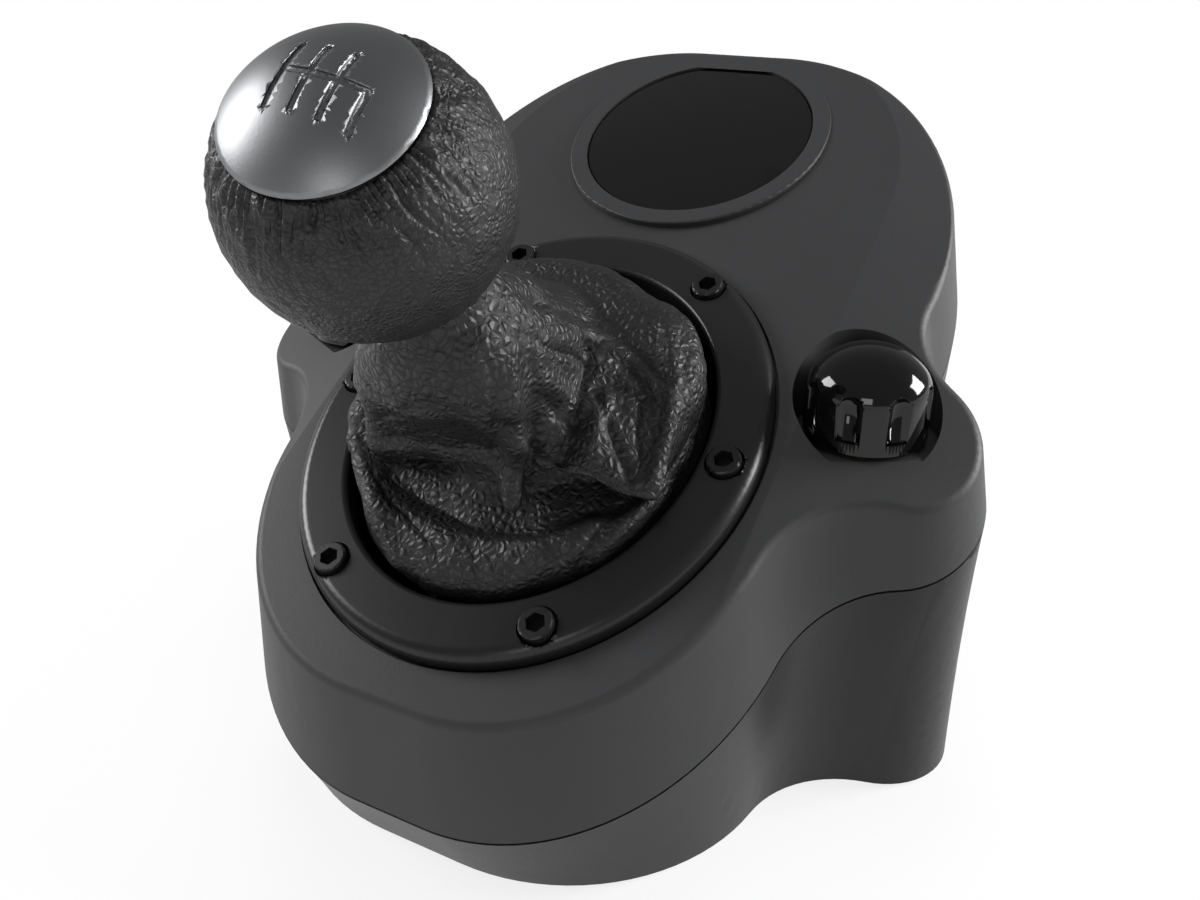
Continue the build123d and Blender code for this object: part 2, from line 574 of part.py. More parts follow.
# Gaiter: one closed leather skin with its rolls and folds, from the clamped flange to the neck
def gaiter_form(skin):
    """Loft of the gaiter, drawn in by skin."""
    gaiter_flap = (gaiter_flap_x, gaiter_flap_y, gaiter_flap_aside, gaiter_flap_back)
    stack = (
        (-bezel_floor - clamp_gap, gaiter_root_x, gaiter_root_y, 0, 0),
        (gaiter_roll_height, gaiter_roll_x, gaiter_roll_y, 0, 0),
        (gaiter_top_height - skin, gaiter_top_x, gaiter_top_y, 0, 0),
        (gaiter_crease_height - skin, gaiter_crease_x, gaiter_crease_y, 0, 0),
        (gaiter_crease_height + skin, gaiter_crease_x, gaiter_crease_y, 0, 0),
        (gaiter_flap_height + skin, *gaiter_flap),
        (gaiter_flap_height + gaiter_flap_lift, *gaiter_flap),
        (gaiter_shoulder_height, gaiter_shoulder_x, gaiter_shoulder_y, 0, gaiter_shoulder_back),
    )
    if skin == 0:
        stack = stack[:4] + stack[5:]
    with BuildPart() as form:
        for height, half_x, half_y, aside, back in stack:
            with BuildSketch(deck(height)):
                with Locations((aside, back)):
                    Ellipse(half_x - skin, half_y - skin)
        with BuildSketch(on_lever(gaiter_neck_foot)):
            Circle(gaiter_neck_radius - skin)
        loft(ruled=True)
    return form


gaiter_outer = gaiter_form(0)
gaiter_inner = gaiter_form(gaiter_skin)
with BuildPart() as gaiter:
    with BuildSketch(deck(-deck_floor + clamp_gap)):
        Ellipse(bezel_outer_x - gaiter_gap, bezel_outer_y - gaiter_gap)
        with Locations(bezel_screw_places):
            Circle(shank_radius + 2 * hole_gap, mode=Mode.SUBTRACT)
    extrude(amount=gaiter_flange_thickness)
    add(gaiter_outer.part)
    with BuildSketch(on_lever(gaiter_neck_foot)):
        Circle(gaiter_neck_radius)
    extrude(amount=tube_top - gaiter_neck_foot)
    add(gaiter_inner.part, mode=Mode.SUBTRACT)
    with BuildSketch(deck(-deck_floor)):
        Ellipse(gaiter_root_x - gaiter_skin, gaiter_root_y - gaiter_skin)
    extrude(amount=gaiter_flange_thickness + 2 * clamp_gap, mode=Mode.SUBTRACT)
    with BuildSketch(on_lever(gaiter_neck_foot)):
        Circle(gaiter_neck_radius - gaiter_skin)
    extrude(amount=tube_top - gaiter_neck_foot + cut_over, mode=Mode.SUBTRACT)

# Knob: core, leather and cap
cap_axis = lever_axis.rotate(Axis((0, 0, 0), lever_axis.cross(Vector(1, 0, 0))), cap_lean)
cap_axis = cap_axis.rotate(Axis.X, cap_pitch)
cap_along = (Vector(1, 0, 0) - cap_axis * cap_axis.X).normalized()


def on_cap(distance):
    """Plane square to the cap's axis, at a distance from the knob's centre."""
    return Plane(origin=knob_centre + cap_axis * distance, x_dir=cap_along, z_dir=cap_axis)


def cap_profile():
    """Plane through the cap's axis: X is the radius, Y the distance from the knob's centre."""
    return Plane(origin=knob_centre, x_dir=cap_along, z_dir=cap_along.cross(cap_axis))


def cap_cone(half_angle, inner, outer):
    """Spherical cap between two radii, as a turned piece."""
    with BuildPart() as cone:
        with BuildSketch(cap_profile()):
            with BuildLine():
                sine, cosine = sin(radians(half_angle)), cos(radians(half_angle))
                Line((0, inner), (0, outer))
                RadiusArc((0, outer), (outer * sine, outer * cosine), outer)
                Line((outer * sine, outer * cosine), (inner * sine, inner * cosine))
                RadiusArc((inner * sine, inner * cosine), (0, inner), -inner)
            make_face()
        revolve(axis=Axis(knob_centre, cap_axis))
    return cone


core_radius = knob_radius - leather_thickness - leather_gap
cap_outer = knob_radius + cap_proud
cap_inner = cap_outer - cap_thickness

with BuildPart() as cap_marks:
    with BuildSketch(on_cap(cap_inner * cos(radians(cap_half_angle)))):
        lane_length = cap_lane_top - cap_lane_foot
        lane_middle = (cap_lane_top + cap_lane_foot) / 2
        half_lane = cap_bar_y - cap_lane_foot
        with Locations([(cap_lane_spacing * lane, lane_middle) for lane in (-1, 0, 1)]):
            SlotOverall(lane_length, cap_groove_width, rotation=90)
        with Locations((2 * cap_lane_spacing, cap_bar_y - half_lane / 2)):
            SlotOverall(half_lane + cap_groove_width, cap_groove_width, rotation=90)
        with Locations((cap_lane_spacing / 2, cap_bar_y)):
            Rectangle(3 * cap_lane_spacing, cap_groove_width)
    extrude(amount=knob_radius)
    groove_floor = cap_outer - cap_groove_depth
    add(cap_cone(cap_half_angle, groove_floor, cap_outer + cut_over).part, mode=Mode.INTERSECT)

with BuildPart() as knob_cap:
    add(cap_cone(cap_half_angle, cap_inner, cap_outer).part)
    add(cap_marks.part, mode=Mode.SUBTRACT)

with BuildPart() as knob_leather:
    with Locations(knob_centre):
        Sphere(knob_radius)
        Sphere(knob_radius - leather_thickness, mode=Mode.SUBTRACT)
    with BuildSketch(on_cap(cap_inner * cos(radians(cap_half_angle)) - leather_thickness)):
        Circle(cap_outer * sin(radians(cap_half_angle)) + cap_gap)
    extrude(amount=knob_radius, mode=Mode.SUBTRACT)
    with BuildSketch(on_lever(knob_distance)):
        Circle(leather_mouth_radius)
    extrude(amount=-knob_radius - cut_over, mode=Mode.SUBTRACT)

with BuildPart() as knob_core:
    with Locations(knob_centre):
        Sphere(core_radius)
    with BuildSketch(on_lever(recess_floor)):
        Circle(recess_radius)
    extrude(amount=-knob_radius, mode=Mode.SUBTRACT)
    with BuildSketch(on_lever(spring_pocket_floor)):
        Circle(spring_pocket_radius)
    extrude(amount=recess_floor - spring_pocket_floor - cut_over, mode=Mode.SUBTRACT)
    with BuildSketch(on_lever(spring_pocket_floor - cut_over)):
        Circle(rod_radius + thread_gap)
    extrude(amount=nut_seat - spring_pocket_floor + 2 * cut_over, mode=Mode.SUBTRACT)
    with BuildSketch(on_lever(nut_seat)):
        Circle(nut_pocket_radius)
    extrude(amount=knob_radius, mode=Mode.SUBTRACT)

with BuildPart() as knob_nut:
    with BuildSketch(on_lever(nut_seat)):
        RegularPolygon(radius=nut_half, side_count=6, major_radius=False)
        Circle(rod_radius + thread_gap, mode=Mode.SUBTRACT)
    extrude(amount=nut_height)

# Lever: sliding rod with the gate pin, its tube, the collar under the gaiter's neck, the block
with BuildPart() as shift_rod:
    with BuildSketch(on_lever(rod_foot)):
        Circle(rod_radius)
    extrude(amount=rod_top - rod_foot)
    with BuildSketch(on_lever(tail_foot)):
        Circle(tail_radius)
    extrude(amount=rod_foot - tail_foot)

with BuildPart() as gate_pin:
    with BuildSketch(on_lever(pin_foot)):
        Circle(pin_radius)
    extrude(amount=tail_foot - pin_foot)
    fillet(faces().sort_by(Axis(pivot, lever_axis))[0].edges(), radius=pin_radius / 2)

with BuildPart() as lever_tube:
    with BuildSketch(on_lever(tube_foot)):
        Circle(tube_radius)
        Circle(rod_radius + run_gap, mode=Mode.SUBTRACT)
    extrude(amount=tube_top - tube_foot)

with BuildPart() as gaiter_collar:
    with BuildSketch(on_lever(collar_foot)):
        Circle(collar_radius)
        Circle(tube_radius, mode=Mode.SUBTRACT)
    extrude(amount=tube_top - collar_foot)
    chamfer(edges().sort_by(Axis(pivot, lever_axis)).sort_by(SortBy.LENGTH)[-1], length=collar_edge)

with BuildPart() as lever_block:
    with BuildSketch(on_lever(-block_half_z)):
        Rectangle(2 * block_half_x, 2 * block_half_y)
    extrude(amount=2 * block_half_z)
    chamfer(edges().filter_by(Axis(pivot, lever_axis)), length=block_edge)
    with BuildSketch(on_lever(-block_half_z)):
        Circle(rod_radius + run_gap)
    extrude(amount=2 * block_half_z, mode=Mode.SUBTRACT)
    with BuildSketch(on_lever(tube_foot)):
        Circle(tube_radius)
    extrude(amount=block_half_z, mode=Mode.SUBTRACT)
    with BuildSketch(Plane(origin=pivot, x_dir=lever_axis, z_dir=(1, 0, 0))):
        Circle(axle_radius)
    extrude(amount=block_half_x, both=True, mode=Mode.SUBTRACT)


def across(distance):
    """Plane square to the cross axle, at a distance from the lever's pivot."""
    return Plane(origin=pivot + Vector(distance, 0, 0), x_dir=lever_axis, z_dir=(1, 0, 0))


swing_axis = Vector(0, cos(lean), sin(lean))


def along_deck(distance):
    """Plane square to the yoke's pins, at a distance from the lever's pivot."""
    return Plane(origin=pivot + swing_axis * distance, x_dir=(1, 0, 0), z_dir=swing_axis)


with BuildPart() as cross_axles:
    with BuildSketch(across(axle_inner)):
        Circle(axle_radius)
    extrude(amount=axle_right_end - axle_inner)
    with BuildSketch(across(-axle_inner)):
        Circle(axle_radius)
    extrude(amount=axle_inner - axle_left_end)

with BuildPart() as select_yoke:
    with BuildSketch(on_lever(-yoke_half_z)):
        RectangleRounded(2 * yoke_outer_x, 2 * yoke_outer_y, yoke_round)
        Rectangle(2 * yoke_inner_x, 2 * yoke_inner_y, mode=Mode.SUBTRACT)
    extrude(amount=2 * yoke_half_z)
    with BuildSketch(across(0)):
        Circle(axle_radius + run_gap)
    extrude(amount=yoke_outer_x + cut_over, both=True, mode=Mode.SUBTRACT)
    with BuildSketch(along_deck(0)):
        Circle(yoke_pin_radius)
    extrude(amount=yoke_outer_y + cut_over, both=True, mode=Mode.SUBTRACT)

with BuildPart() as yoke_pins:
    with BuildSketch(along_deck(yoke_pin_inner)):
        Circle(yoke_pin_radius)
    extrude(amount=yoke_pin_rear - yoke_pin_inner)
    with BuildSketch(along_deck(-yoke_pin_inner)):
        Circle(yoke_pin_radius)
    extrude(amount=yoke_pin_inner - yoke_pin_front)

# Tower that carries the gimbal and the gate, standing on the base plate
tower_outer_x = tower_half_x + tower_side_wall
tower_outer_y = tower_half_y + tower_wall
with BuildPart() as mechanism_tower:
    with BuildSketch(on_lever(tower_top)):
        Rectangle(2 * tower_outer_x, 2 * tower_outer_y)
        Rectangle(2 * tower_half_x, 2 * tower_half_y, mode=Mode.SUBTRACT)
    extrude(amount=-tall)
    with BuildSketch(on_lever(tower_top)):
        with Locations((0, tower_half_y + tower_wall / 2), (0, -tower_half_y - tower_wall / 2)):
            Rectangle(2 * tower_ear_half, tower_wall)
    extrude(amount=tower_ear_top - tower_top)
    with BuildSketch(on_lever(gate_top - gate_thickness)):
        Rectangle(2 * tower_half_x + tower_side_wall, 2 * tower_half_y + tower_wall)
        Rectangle(2 * ledge_half_x, 2 * ledge_half_y, mode=Mode.SUBTRACT)
    extrude(amount=-ledge_thickness)
    with BuildSketch(Plane.XY.offset(plate_thickness)):
        with Locations((0, tower_foot_front), (0, tower_foot_rear)):
            Rectangle(2 * tower_foot_half_x, tower_foot_length)
    extrude(amount=tower_foot_thickness)
    with BuildSketch(Plane.XY.offset(plate_thickness)):
        Rectangle(2 * tall, 4 * tall)
    extrude(amount=-2 * tall, mode=Mode.SUBTRACT)
    with BuildSketch(along_deck(0)):
        Circle(yoke_pin_radius + run_gap)
    extrude(amount=tower_outer_y + cut_over, both=True, mode=Mode.SUBTRACT)
    with BuildSketch(across(0)):
        with Locations(((window_top + window_foot) / 2, 0)):
            Rectangle(window_top - window_foot, 2 * window_half_y)
    extrude(amount=tower_outer_x + cut_over, both=True, mode=Mode.SUBTRACT)
    with BuildSketch(on_lever(gate_top - gate_thickness)):
        with Locations(gate_screw_places):
            Circle(gate_screw_radius + thread_gap)
    extrude(amount=-gate_screw_length, mode=Mode.SUBTRACT)
    with BuildSketch(Plane.XY):
        with Locations(tower_screw_places):
            Circle(tower_screw_radius + hole_gap)
    extrude(amount=tower_foot_thickness + 2 * plate_thickness, mode=Mode.SUBTRACT)

gate_reach = -(gate_top - gate_thickness / 2)
gate_lane_x = gate_reach * tan(radians(select_swing))
gate_lane_y = gate_reach * tan(radians(shift_swing))
gate_slot_width = 2 * (pin_radius + gate_slot_gap)
with BuildPart() as gate_plate:
    with BuildSketch(on_lever(gate_top)):
        Rectangle(2 * gate_half_x, 2 * gate_half_y)
        with Locations([(gate_lane_x * lane, 0) for lane in (-1, 0, 1)]):
            SlotCenterToCenter(2 * gate_lane_y, gate_slot_width, rotation=90, mode=Mode.SUBTRACT)
        SlotCenterToCenter(2 * gate_lane_x, gate_slot_width, mode=Mode.SUBTRACT)
        with Locations(gate_screw_places):
            Circle(gate_screw_radius + hole_gap, mode=Mode.SUBTRACT)
    extrude(amount=-gate_thickness)

with BuildPart() as gate_screws:
    with BuildSketch(on_lever(gate_top)):
        with Locations(gate_screw_places):
            Circle(gate_screw_head)
    extrude(amount=gate_screw_head_height)
    with BuildSketch(on_lever(gate_top)):
        with Locations(gate_screw_places):
            Circle(gate_screw_radius)
    extrude(amount=-gate_screw_length)

tower_screw_seat = plate_thickness + tower_foot_thickness
with BuildPart() as tower_screws:
    with BuildSketch(Plane.XY.offset(tower_screw_seat)):
        with Locations(tower_screw_places):
            Circle(tower_screw_head)
    extrude(amount=tower_screw_head_height)
    with BuildSketch(Plane.XY.offset(tower_screw_seat)):
        with Locations(tower_screw_places):
            Circle(tower_screw_radius)
    extrude(amount=-tower_screw_length)

# Sensors, reverse switch and springs
with BuildPart() as select_sensor:
    with BuildSketch(along_deck(tower_outer_y)):
        Rectangle(2 * sensor_half, 2 * sensor_half)
        Circle(yoke_pin_radius + sensor_bore_gap, mode=Mode.SUBTRACT)
    extrude(amount=sensor_depth)

with BuildPart() as shift_sensor:
    with BuildSketch(across(yoke_outer_x)):
        Rectangle(2 * sensor_side_half, 2 * sensor_half)
        Circle(axle_radius + sensor_bore_gap, mode=Mode.SUBTRACT)
    extrude(amount=sensor_depth)

with BuildPart() as reverse_switch:
    with BuildSketch(on_lever(-block_half_z)):
        with Locations((0, switch_near + switch_length_y / 2)):
            Rectangle(2 * switch_half_x, switch_length_y)
    extrude(amount=-switch_height)
    with BuildSketch(along_deck(switch_near)):
        with Locations((0, switch_button_drop)):
            Circle(switch_button_radius)
    extrude(amount=-switch_button_reach)


def coil_spring(foot_plane, wire, coil_radius, pitch, turns):
    """Wound wire standing on a plane."""
    with BuildPart() as wound:
        with BuildLine() as centre_line:
            Helix(pitch=pitch, height=pitch * turns, radius=coil_radius)
        with BuildSketch(Plane(origin=centre_line.line @ 0, z_dir=centre_line.line % 0)):
            Circle(wire / 2)
        sweep()
    with BuildPart() as placed:
        add(wound.part.moved(foot_plane.location))
    return placed


reverse_coil_foot = tube_top + reverse_wire / 2 + press_gap
reverse_coil_height = spring_pocket_floor - reverse_wire / 2 - press_gap - reverse_coil_foot
reverse_spring = coil_spring(on_lever(reverse_coil_foot), reverse_wire, reverse_coil_radius,
                             reverse_coil_height / reverse_turns, reverse_turns)
select_coil_foot = tower_outer_y + select_spring_gap + select_wire / 2
select_coil_origin = pivot - swing_axis * select_coil_foot
select_coil_plane = Plane(origin=select_coil_origin, x_dir=(1, 0, 0), z_dir=swing_axis * -1)
centring_spring = coil_spring(select_coil_plane, select_wire, select_coil_radius, select_pitch, select_turns)

with BuildPart() as spring_clip:
    with BuildSketch(along_deck(-yoke_pin_front)):
        Circle(select_clip_radius)
        Circle(yoke_pin_radius, mode=Mode.SUBTRACT)
    extrude(amount=select_clip_thickness)

# Clamps, one on each side


def clamp_grip(side):
    """Fluted knob of one clamp."""
    with BuildPart() as grip:
        with BuildSketch(Plane(origin=(side * clamp_x, clamp_y, pocket_centre_height), x_dir=(1, 0, 0),
                               z_dir=(0, -1, 0))):
            with BuildLine():
                corner_x = grip_radius - grip_corner_radius
                dome_height = grip_top_rise - grip_dome_start
                crown = (corner_x ** 2 + dome_height ** 2 - grip_corner_radius ** 2) / (
                    2 * (dome_height - grip_corner_radius))
                reach = crown / (crown - grip_corner_radius)
                joint = (corner_x * reach, grip_top_rise - crown + (crown - dome_height) * reach)
                Line((0, grip_top_rise), (0, -grip_floor_drop))
                Line((0, -grip_floor_drop), (grip_radius, -grip_floor_drop))
                Line((grip_radius, -grip_floor_drop), (grip_radius, grip_dome_start))
                RadiusArc((grip_radius, grip_dome_start), joint, -grip_corner_radius)
                RadiusArc(joint, (0, grip_top_rise), -crown)
            make_face()
        revolve(axis=Axis((side * clamp_x, clamp_y, 0), (0, 0, 1)))
        with BuildSketch(Plane.XY.offset(pocket_centre_height - flute_foot_drop)):
            with Locations((side * clamp_x, clamp_y)):
                with PolarLocations(grip_radius + flute_radius - flute_depth, flute_count):
                    Circle(flute_radius)
        extrude(amount=flute_foot_drop + flute_top_rise, mode=Mode.SUBTRACT)
        with Locations((side * clamp_x, clamp_y, pocket_centre_height + flute_top_rise)):
            with PolarLocations(grip_radius + flute_radius - flute_depth, flute_count):
                Sphere(flute_radius, mode=Mode.SUBTRACT)
        with BuildSketch(Plane.XY.offset(grip_foot)):
            with Locations((side * clamp_x, clamp_y)):
                Circle(grip_hollow_radius)
                Circle(grip_hub_radius, mode=Mode.SUBTRACT)
        extrude(amount=grip_hollow_depth, mode=Mode.SUBTRACT)
        with BuildSketch(Plane.XY.offset(grip_foot)):
            with Locations((side * clamp_x, clamp_y)):
                Circle(clamp_screw_radius)
        extrude(amount=clamp_screw_rise, mode=Mode.SUBTRACT)
    return grip


def upright_rod(side, radius, foot, top):
    """Round bar of one clamp."""
    with BuildPart() as rod:
        with BuildSketch(Plane.XY.offset(foot)):
            with Locations((side * clamp_x, clamp_y)):
                Circle(radius)
        extrude(amount=top - foot)
    return rod


def upright_ring(side, radius, bore, foot, height):
    """Ring of one clamp."""
    with BuildPart() as ring:
        with BuildSketch(Plane.XY.offset(foot)):
            with Locations((side * clamp_x, clamp_y)):
                Circle(radius)
                Circle(bore, mode=Mode.SUBTRACT)
        extrude(amount=height)
    return ring


def clamp_jaw(side):
    """Post in its guide, with the arm that reaches under the desk."""
    with BuildPart() as jaw:
        with BuildSketch(Plane.XY):
            with Locations((side * arm_slot_centre[0], arm_slot_centre[1])):
                Rectangle(arm_outer_x - arm_inner_x, arm_length)
            with Locations((side * clamp_x, clamp_y)):
                Rectangle(jaw_post_side, jaw_post_side)
        extrude(amount=foot_height)
        fillet(edges().filter_by(Axis.Z).group_by(Axis.Y)[-1], radius=foot_round)
        with BuildSketch(Plane.XY.offset(foot_height)):
            with Locations((side * clamp_x, clamp_y)):
                Rectangle(jaw_post_side, jaw_post_side)
        extrude(amount=post_top - foot_height)
        with BuildSketch(Plane.XY.offset(clamp_screw_end - cut_over)):
            with Locations((side * clamp_x, clamp_y)):
                Circle(clamp_screw_radius + post_bore_gap)
        extrude(amount=post_top, mode=Mode.SUBTRACT)
        with BuildSketch(Plane.XY.offset(post_top - jaw_nut_height)):
            with Locations((side * clamp_x, clamp_y)):
                Rectangle(2 * jaw_nut_half, 2 * jaw_nut_half)
        extrude(amount=jaw_nut_height, mode=Mode.SUBTRACT)
    return jaw


def jaw_nut(side):
    """Square nut in the top of the jaw's post."""
    with BuildPart() as nut:
        with BuildSketch(Plane.XY.offset(post_top - jaw_nut_height)):
            with Locations((side * clamp_x, clamp_y)):
                Rectangle(2 * jaw_nut_half, 2 * jaw_nut_half)
                Circle(clamp_screw_radius + run_gap, mode=Mode.SUBTRACT)
        extrude(amount=jaw_nut_height)
    return nut


def jaw_pad(side):
    """Grip pad on the jaw's arm."""
    with BuildPart() as pad:
        with BuildSketch(Plane.XY.offset(foot_height)):
            pad_rear_y = arm_rear_y - pad_margin
            with Locations((side * arm_slot_centre[0], (pad_front_y + pad_rear_y) / 2)):
                Rectangle(arm_outer_x - arm_inner_x - 2 * pad_margin, pad_rear_y - pad_front_y)
        extrude(amount=pad_thickness)
    return pad


washer_top = pocket_floor_foot - washer_gap


def clamp_bush(side):
    """Flanged bush in the pocket's floor."""
    with BuildPart() as bush:
        with BuildSketch(Plane.XY.offset(pocket_floor_foot)):
            with Locations((side * clamp_x, clamp_y)):
                Circle(bush_radius)
        extrude(amount=pocket_floor)
        with BuildSketch(Plane.XY.offset(pocket_floor_top)):
            with Locations((side * clamp_x, clamp_y)):
                Circle(bush_flange_radius)
        extrude(amount=bush_flange_thickness)
        with BuildSketch(Plane.XY.offset(pocket_floor_foot)):
            with Locations((side * clamp_x, clamp_y)):
                Circle(clamp_screw_radius + run_gap)
        extrude(amount=pocket_floor + bush_flange_thickness, mode=Mode.SUBTRACT)
    return bush


# Base plate with its inserts, grip strips and electrics
slot_growth = 2 * plate_slot_gap
arm_slot_width = arm_outer_x - arm_inner_x + slot_growth
with BuildPart() as base_plate:
    with BuildSketch(Plane.XY):
        body_outline(base_level, wall + plate_gap)
        with Locations(both_sides([arm_slot_centre])):
            Rectangle(arm_slot_width, arm_length + slot_growth, mode=Mode.SUBTRACT)
        with Locations(both_sides([(clamp_x, clamp_y)])):
            Rectangle(jaw_post_side + slot_growth, jaw_post_side + slot_growth, mode=Mode.SUBTRACT)
    extrude(amount=plate_thickness)
    with BuildSketch(Plane.XY):
        with Locations(both_sides([(insert_x, insert_y)])):
            Circle(insert_boss_radius)
    extrude(amount=insert_boss_height)
    with BuildSketch(Plane.XY):
        with Locations(board_places):
            Circle(board_post_radius)
    extrude(amount=board_height)
    with BuildSketch(Plane.XY):
        with Locations(both_sides([(insert_x, insert_y)])):
            Circle(insert_radius)
    extrude(amount=insert_length, mode=Mode.SUBTRACT)
    with BuildSketch(Plane.XY):
        with Locations(both_sides(base_screw_places)):
            Circle(base_screw_radius + hole_gap)
        with Locations(tower_screw_places):
            Circle(tower_screw_radius + thread_gap)
    extrude(amount=plate_thickness, mode=Mode.SUBTRACT)
    with BuildSketch(Plane.XY):
        with Locations(both_sides(base_screw_places)):
            Circle(base_head_radius + hole_gap)
    extrude(amount=base_head_height, mode=Mode.SUBTRACT)
    with BuildSketch(Plane.XY.offset(board_height)):
        with Locations(board_places):
            Circle(board_screw_radius + thread_gap)
    extrude(amount=-board_screw_bite, mode=Mode.SUBTRACT)

board_top = board_height + board_thickness
with BuildPart() as circuit_board:
    with BuildSketch(Plane.XY.offset(board_height)):
        with Locations((0, board_y)):
            Rectangle(2 * board_half_x, 2 * board_half_y)
        with Locations(board_places):
            Circle(board_screw_radius + hole_gap, mode=Mode.SUBTRACT)
    extrude(amount=board_thickness)
    with BuildSketch(Plane.XY.offset(board_top)):
        with Locations((connector_spread, board_rows[0]), (-connector_spread, board_rows[0])):
            Rectangle(2 * connector_half_x, 2 * connector_half_y)
    extrude(amount=connector_height)

with BuildPart() as board_screws:
    with BuildSketch(Plane.XY.offset(board_top)):
        with Locations(board_places):
            Circle(board_screw_head)
    extrude(amount=board_screw_head_height)
    with BuildSketch(Plane.XY.offset(board_top)):
        with Locations(board_places):
            Circle(board_screw_radius)
    extrude(amount=-board_thickness - board_screw_bite)

with BuildPart() as base_screws:
    with BuildSketch(Plane.XY):
        with Locations(both_sides(base_screw_places)):
            Circle(base_head_radius)
    extrude(amount=base_head_height)
    with BuildSketch(Plane.XY.offset(base_head_height)):
        with Locations(both_sides(base_screw_places)):
            Circle(base_screw_radius)
    extrude(amount=base_screw_length - base_head_height)

with BuildPart() as threaded_inserts:
    with BuildSketch(Plane.XY):
        with Locations(both_sides([(insert_x, insert_y)])):
            Circle(insert_radius)
            Circle(insert_bore, mode=Mode.SUBTRACT)
    extrude(amount=insert_length)

# Rubber strips under the base plate, clear of the inserts, the screws and the clamp arms
with BuildPart() as grip_strips:
    with BuildSketch(Plane.XY):
        for strip_y, strip_width in strip_rows:
            with Locations((0, strip_y)):
                RectangleRounded(strip_width, strip_depth, strip_round)
    extrude(amount=-strip_thickness)

with BuildPart() as cable_inlet:
    with BuildSketch(Plane.XZ.offset(-inlet_flange_y)):
        with Locations((0, inlet_height)):
            Circle(inlet_flange_radius)
    extrude(amount=-inlet_flange_thickness)
    with BuildSketch(Plane.XZ.offset(-inlet_inner_y)):
        with Locations((0, inlet_height)):
            Circle(inlet_body_radius)
    extrude(amount=inlet_inner_y - inlet_flange_y)
    with BuildSketch(Plane.XZ.offset(-inlet_inner_y)):
        with Locations((0, inlet_height)):
            Circle(inlet_bore)
    extrude(amount=-tall, mode=Mode.SUBTRACT)

# Screws that draw the two shells together, driven up the lower shell's posts
with BuildPart() as shell_screws:
    for spot in both_sides(shell_screw_places):
        seam_there = ring_height + spot[1] * tan(tilt) - lower_rise * stretch
        with BuildSketch(Plane.XY.offset(seam_there - shell_screw_grip)):
            with Locations(spot):
                Circle(shell_screw_radius)
        extrude(amount=shell_screw_grip + shell_screw_bite)
        with BuildSketch(Plane.XY.offset(seam_there - shell_screw_grip)):
            with Locations(spot):
                Circle(shell_head_radius)
        extrude(amount=-shell_head_height)

# Every piece under its name
pieces = {
    "upper_housing": upper_housing,
    "lower_housing": lower_housing,
    "base_plate": base_plate,
    "bezel_ring": bezel_ring,
    "bezel_screws": bezel_screws,
    "gaiter": gaiter,
    "gaiter_retainer": gaiter_retainer,
    "badge_disc": badge_disc,
    "knob_cap": knob_cap,
    "knob_leather": knob_leather,
    "knob_core": knob_core,
    "knob_nut": knob_nut,
    "shift_rod": shift_rod,
    "gate_pin": gate_pin,
    "lever_tube": lever_tube,
    "gaiter_collar": gaiter_collar,
    "reverse_spring": reverse_spring,
    "lever_block": lever_block,
    "cross_axles": cross_axles,
    "reverse_switch": reverse_switch,
    "select_yoke": select_yoke,
    "yoke_pins": yoke_pins,
    "shift_sensor": shift_sensor,
    "spring_clip": spring_clip,
    "centring_spring": centring_spring,
    "mechanism_tower": mechanism_tower,
    "tower_screws": tower_screws,
    "gate_plate": gate_plate,
    "gate_screws": gate_screws,
    "select_sensor": select_sensor,
    "circuit_board": circuit_board,
    "board_screws": board_screws,
    "cable_inlet": cable_inlet,
    "base_screws": base_screws,
    "shell_screws": shell_screws,
    "threaded_inserts": threaded_inserts,
    "grip_strips": grip_strips,
}
for side_name, side in (("left", -1), ("right", 1)):
    pieces["clamp_knob_" + side_name] = clamp_grip(side)
    pieces["clamp_screw_" + side_name] = upright_rod(side, clamp_screw_radius, clamp_screw_end,
                                                     grip_foot + clamp_screw_rise)
    pieces["clamp_bush_" + side_name] = clamp_bush(side)
    pieces["screw_collar_" + side_name] = upright_ring(side, washer_radius, clamp_screw_radius,
                                                       washer_top - washer_thickness, washer_thickness)
    pieces["clamp_jaw_" + side_name] = clamp_jaw(side)
    pieces["jaw_nut_" + side_name] = jaw_nut(side)
    pieces["jaw_pad_" + side_name] = jaw_pad(side)

for name, piece in pieces.items():
    piece.part.label = name
    export_step(piece.part, "parts/" + name + ".step")
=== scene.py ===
import json
import math
import bpy
from mathutils import Euler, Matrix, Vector, noise


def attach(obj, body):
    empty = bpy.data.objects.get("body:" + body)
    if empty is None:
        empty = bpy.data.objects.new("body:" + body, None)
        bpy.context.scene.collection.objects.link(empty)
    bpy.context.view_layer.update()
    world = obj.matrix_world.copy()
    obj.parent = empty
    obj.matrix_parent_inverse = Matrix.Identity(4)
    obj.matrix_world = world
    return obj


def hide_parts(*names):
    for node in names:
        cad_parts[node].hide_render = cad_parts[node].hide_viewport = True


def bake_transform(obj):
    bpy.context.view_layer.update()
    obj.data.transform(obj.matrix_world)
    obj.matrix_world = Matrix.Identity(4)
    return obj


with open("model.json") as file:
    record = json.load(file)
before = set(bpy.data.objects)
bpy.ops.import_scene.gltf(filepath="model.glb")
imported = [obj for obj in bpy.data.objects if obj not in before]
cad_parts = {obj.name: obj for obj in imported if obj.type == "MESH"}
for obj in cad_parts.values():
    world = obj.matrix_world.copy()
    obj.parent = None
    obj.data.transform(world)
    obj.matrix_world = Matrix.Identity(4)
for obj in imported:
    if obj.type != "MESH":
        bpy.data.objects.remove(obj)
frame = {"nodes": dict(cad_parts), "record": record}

bl_info = {
    "name": "Gear shifter dressing",
    "version": (1, 0, 0),
    "blender": (4, 5, 0),
    "location": "View3D > Sidebar > Shifter",
    "description": "Dresses the packed gear shifter: shells, gaiter, knob, clamps, materials and stage",
    "category": "Object",
}

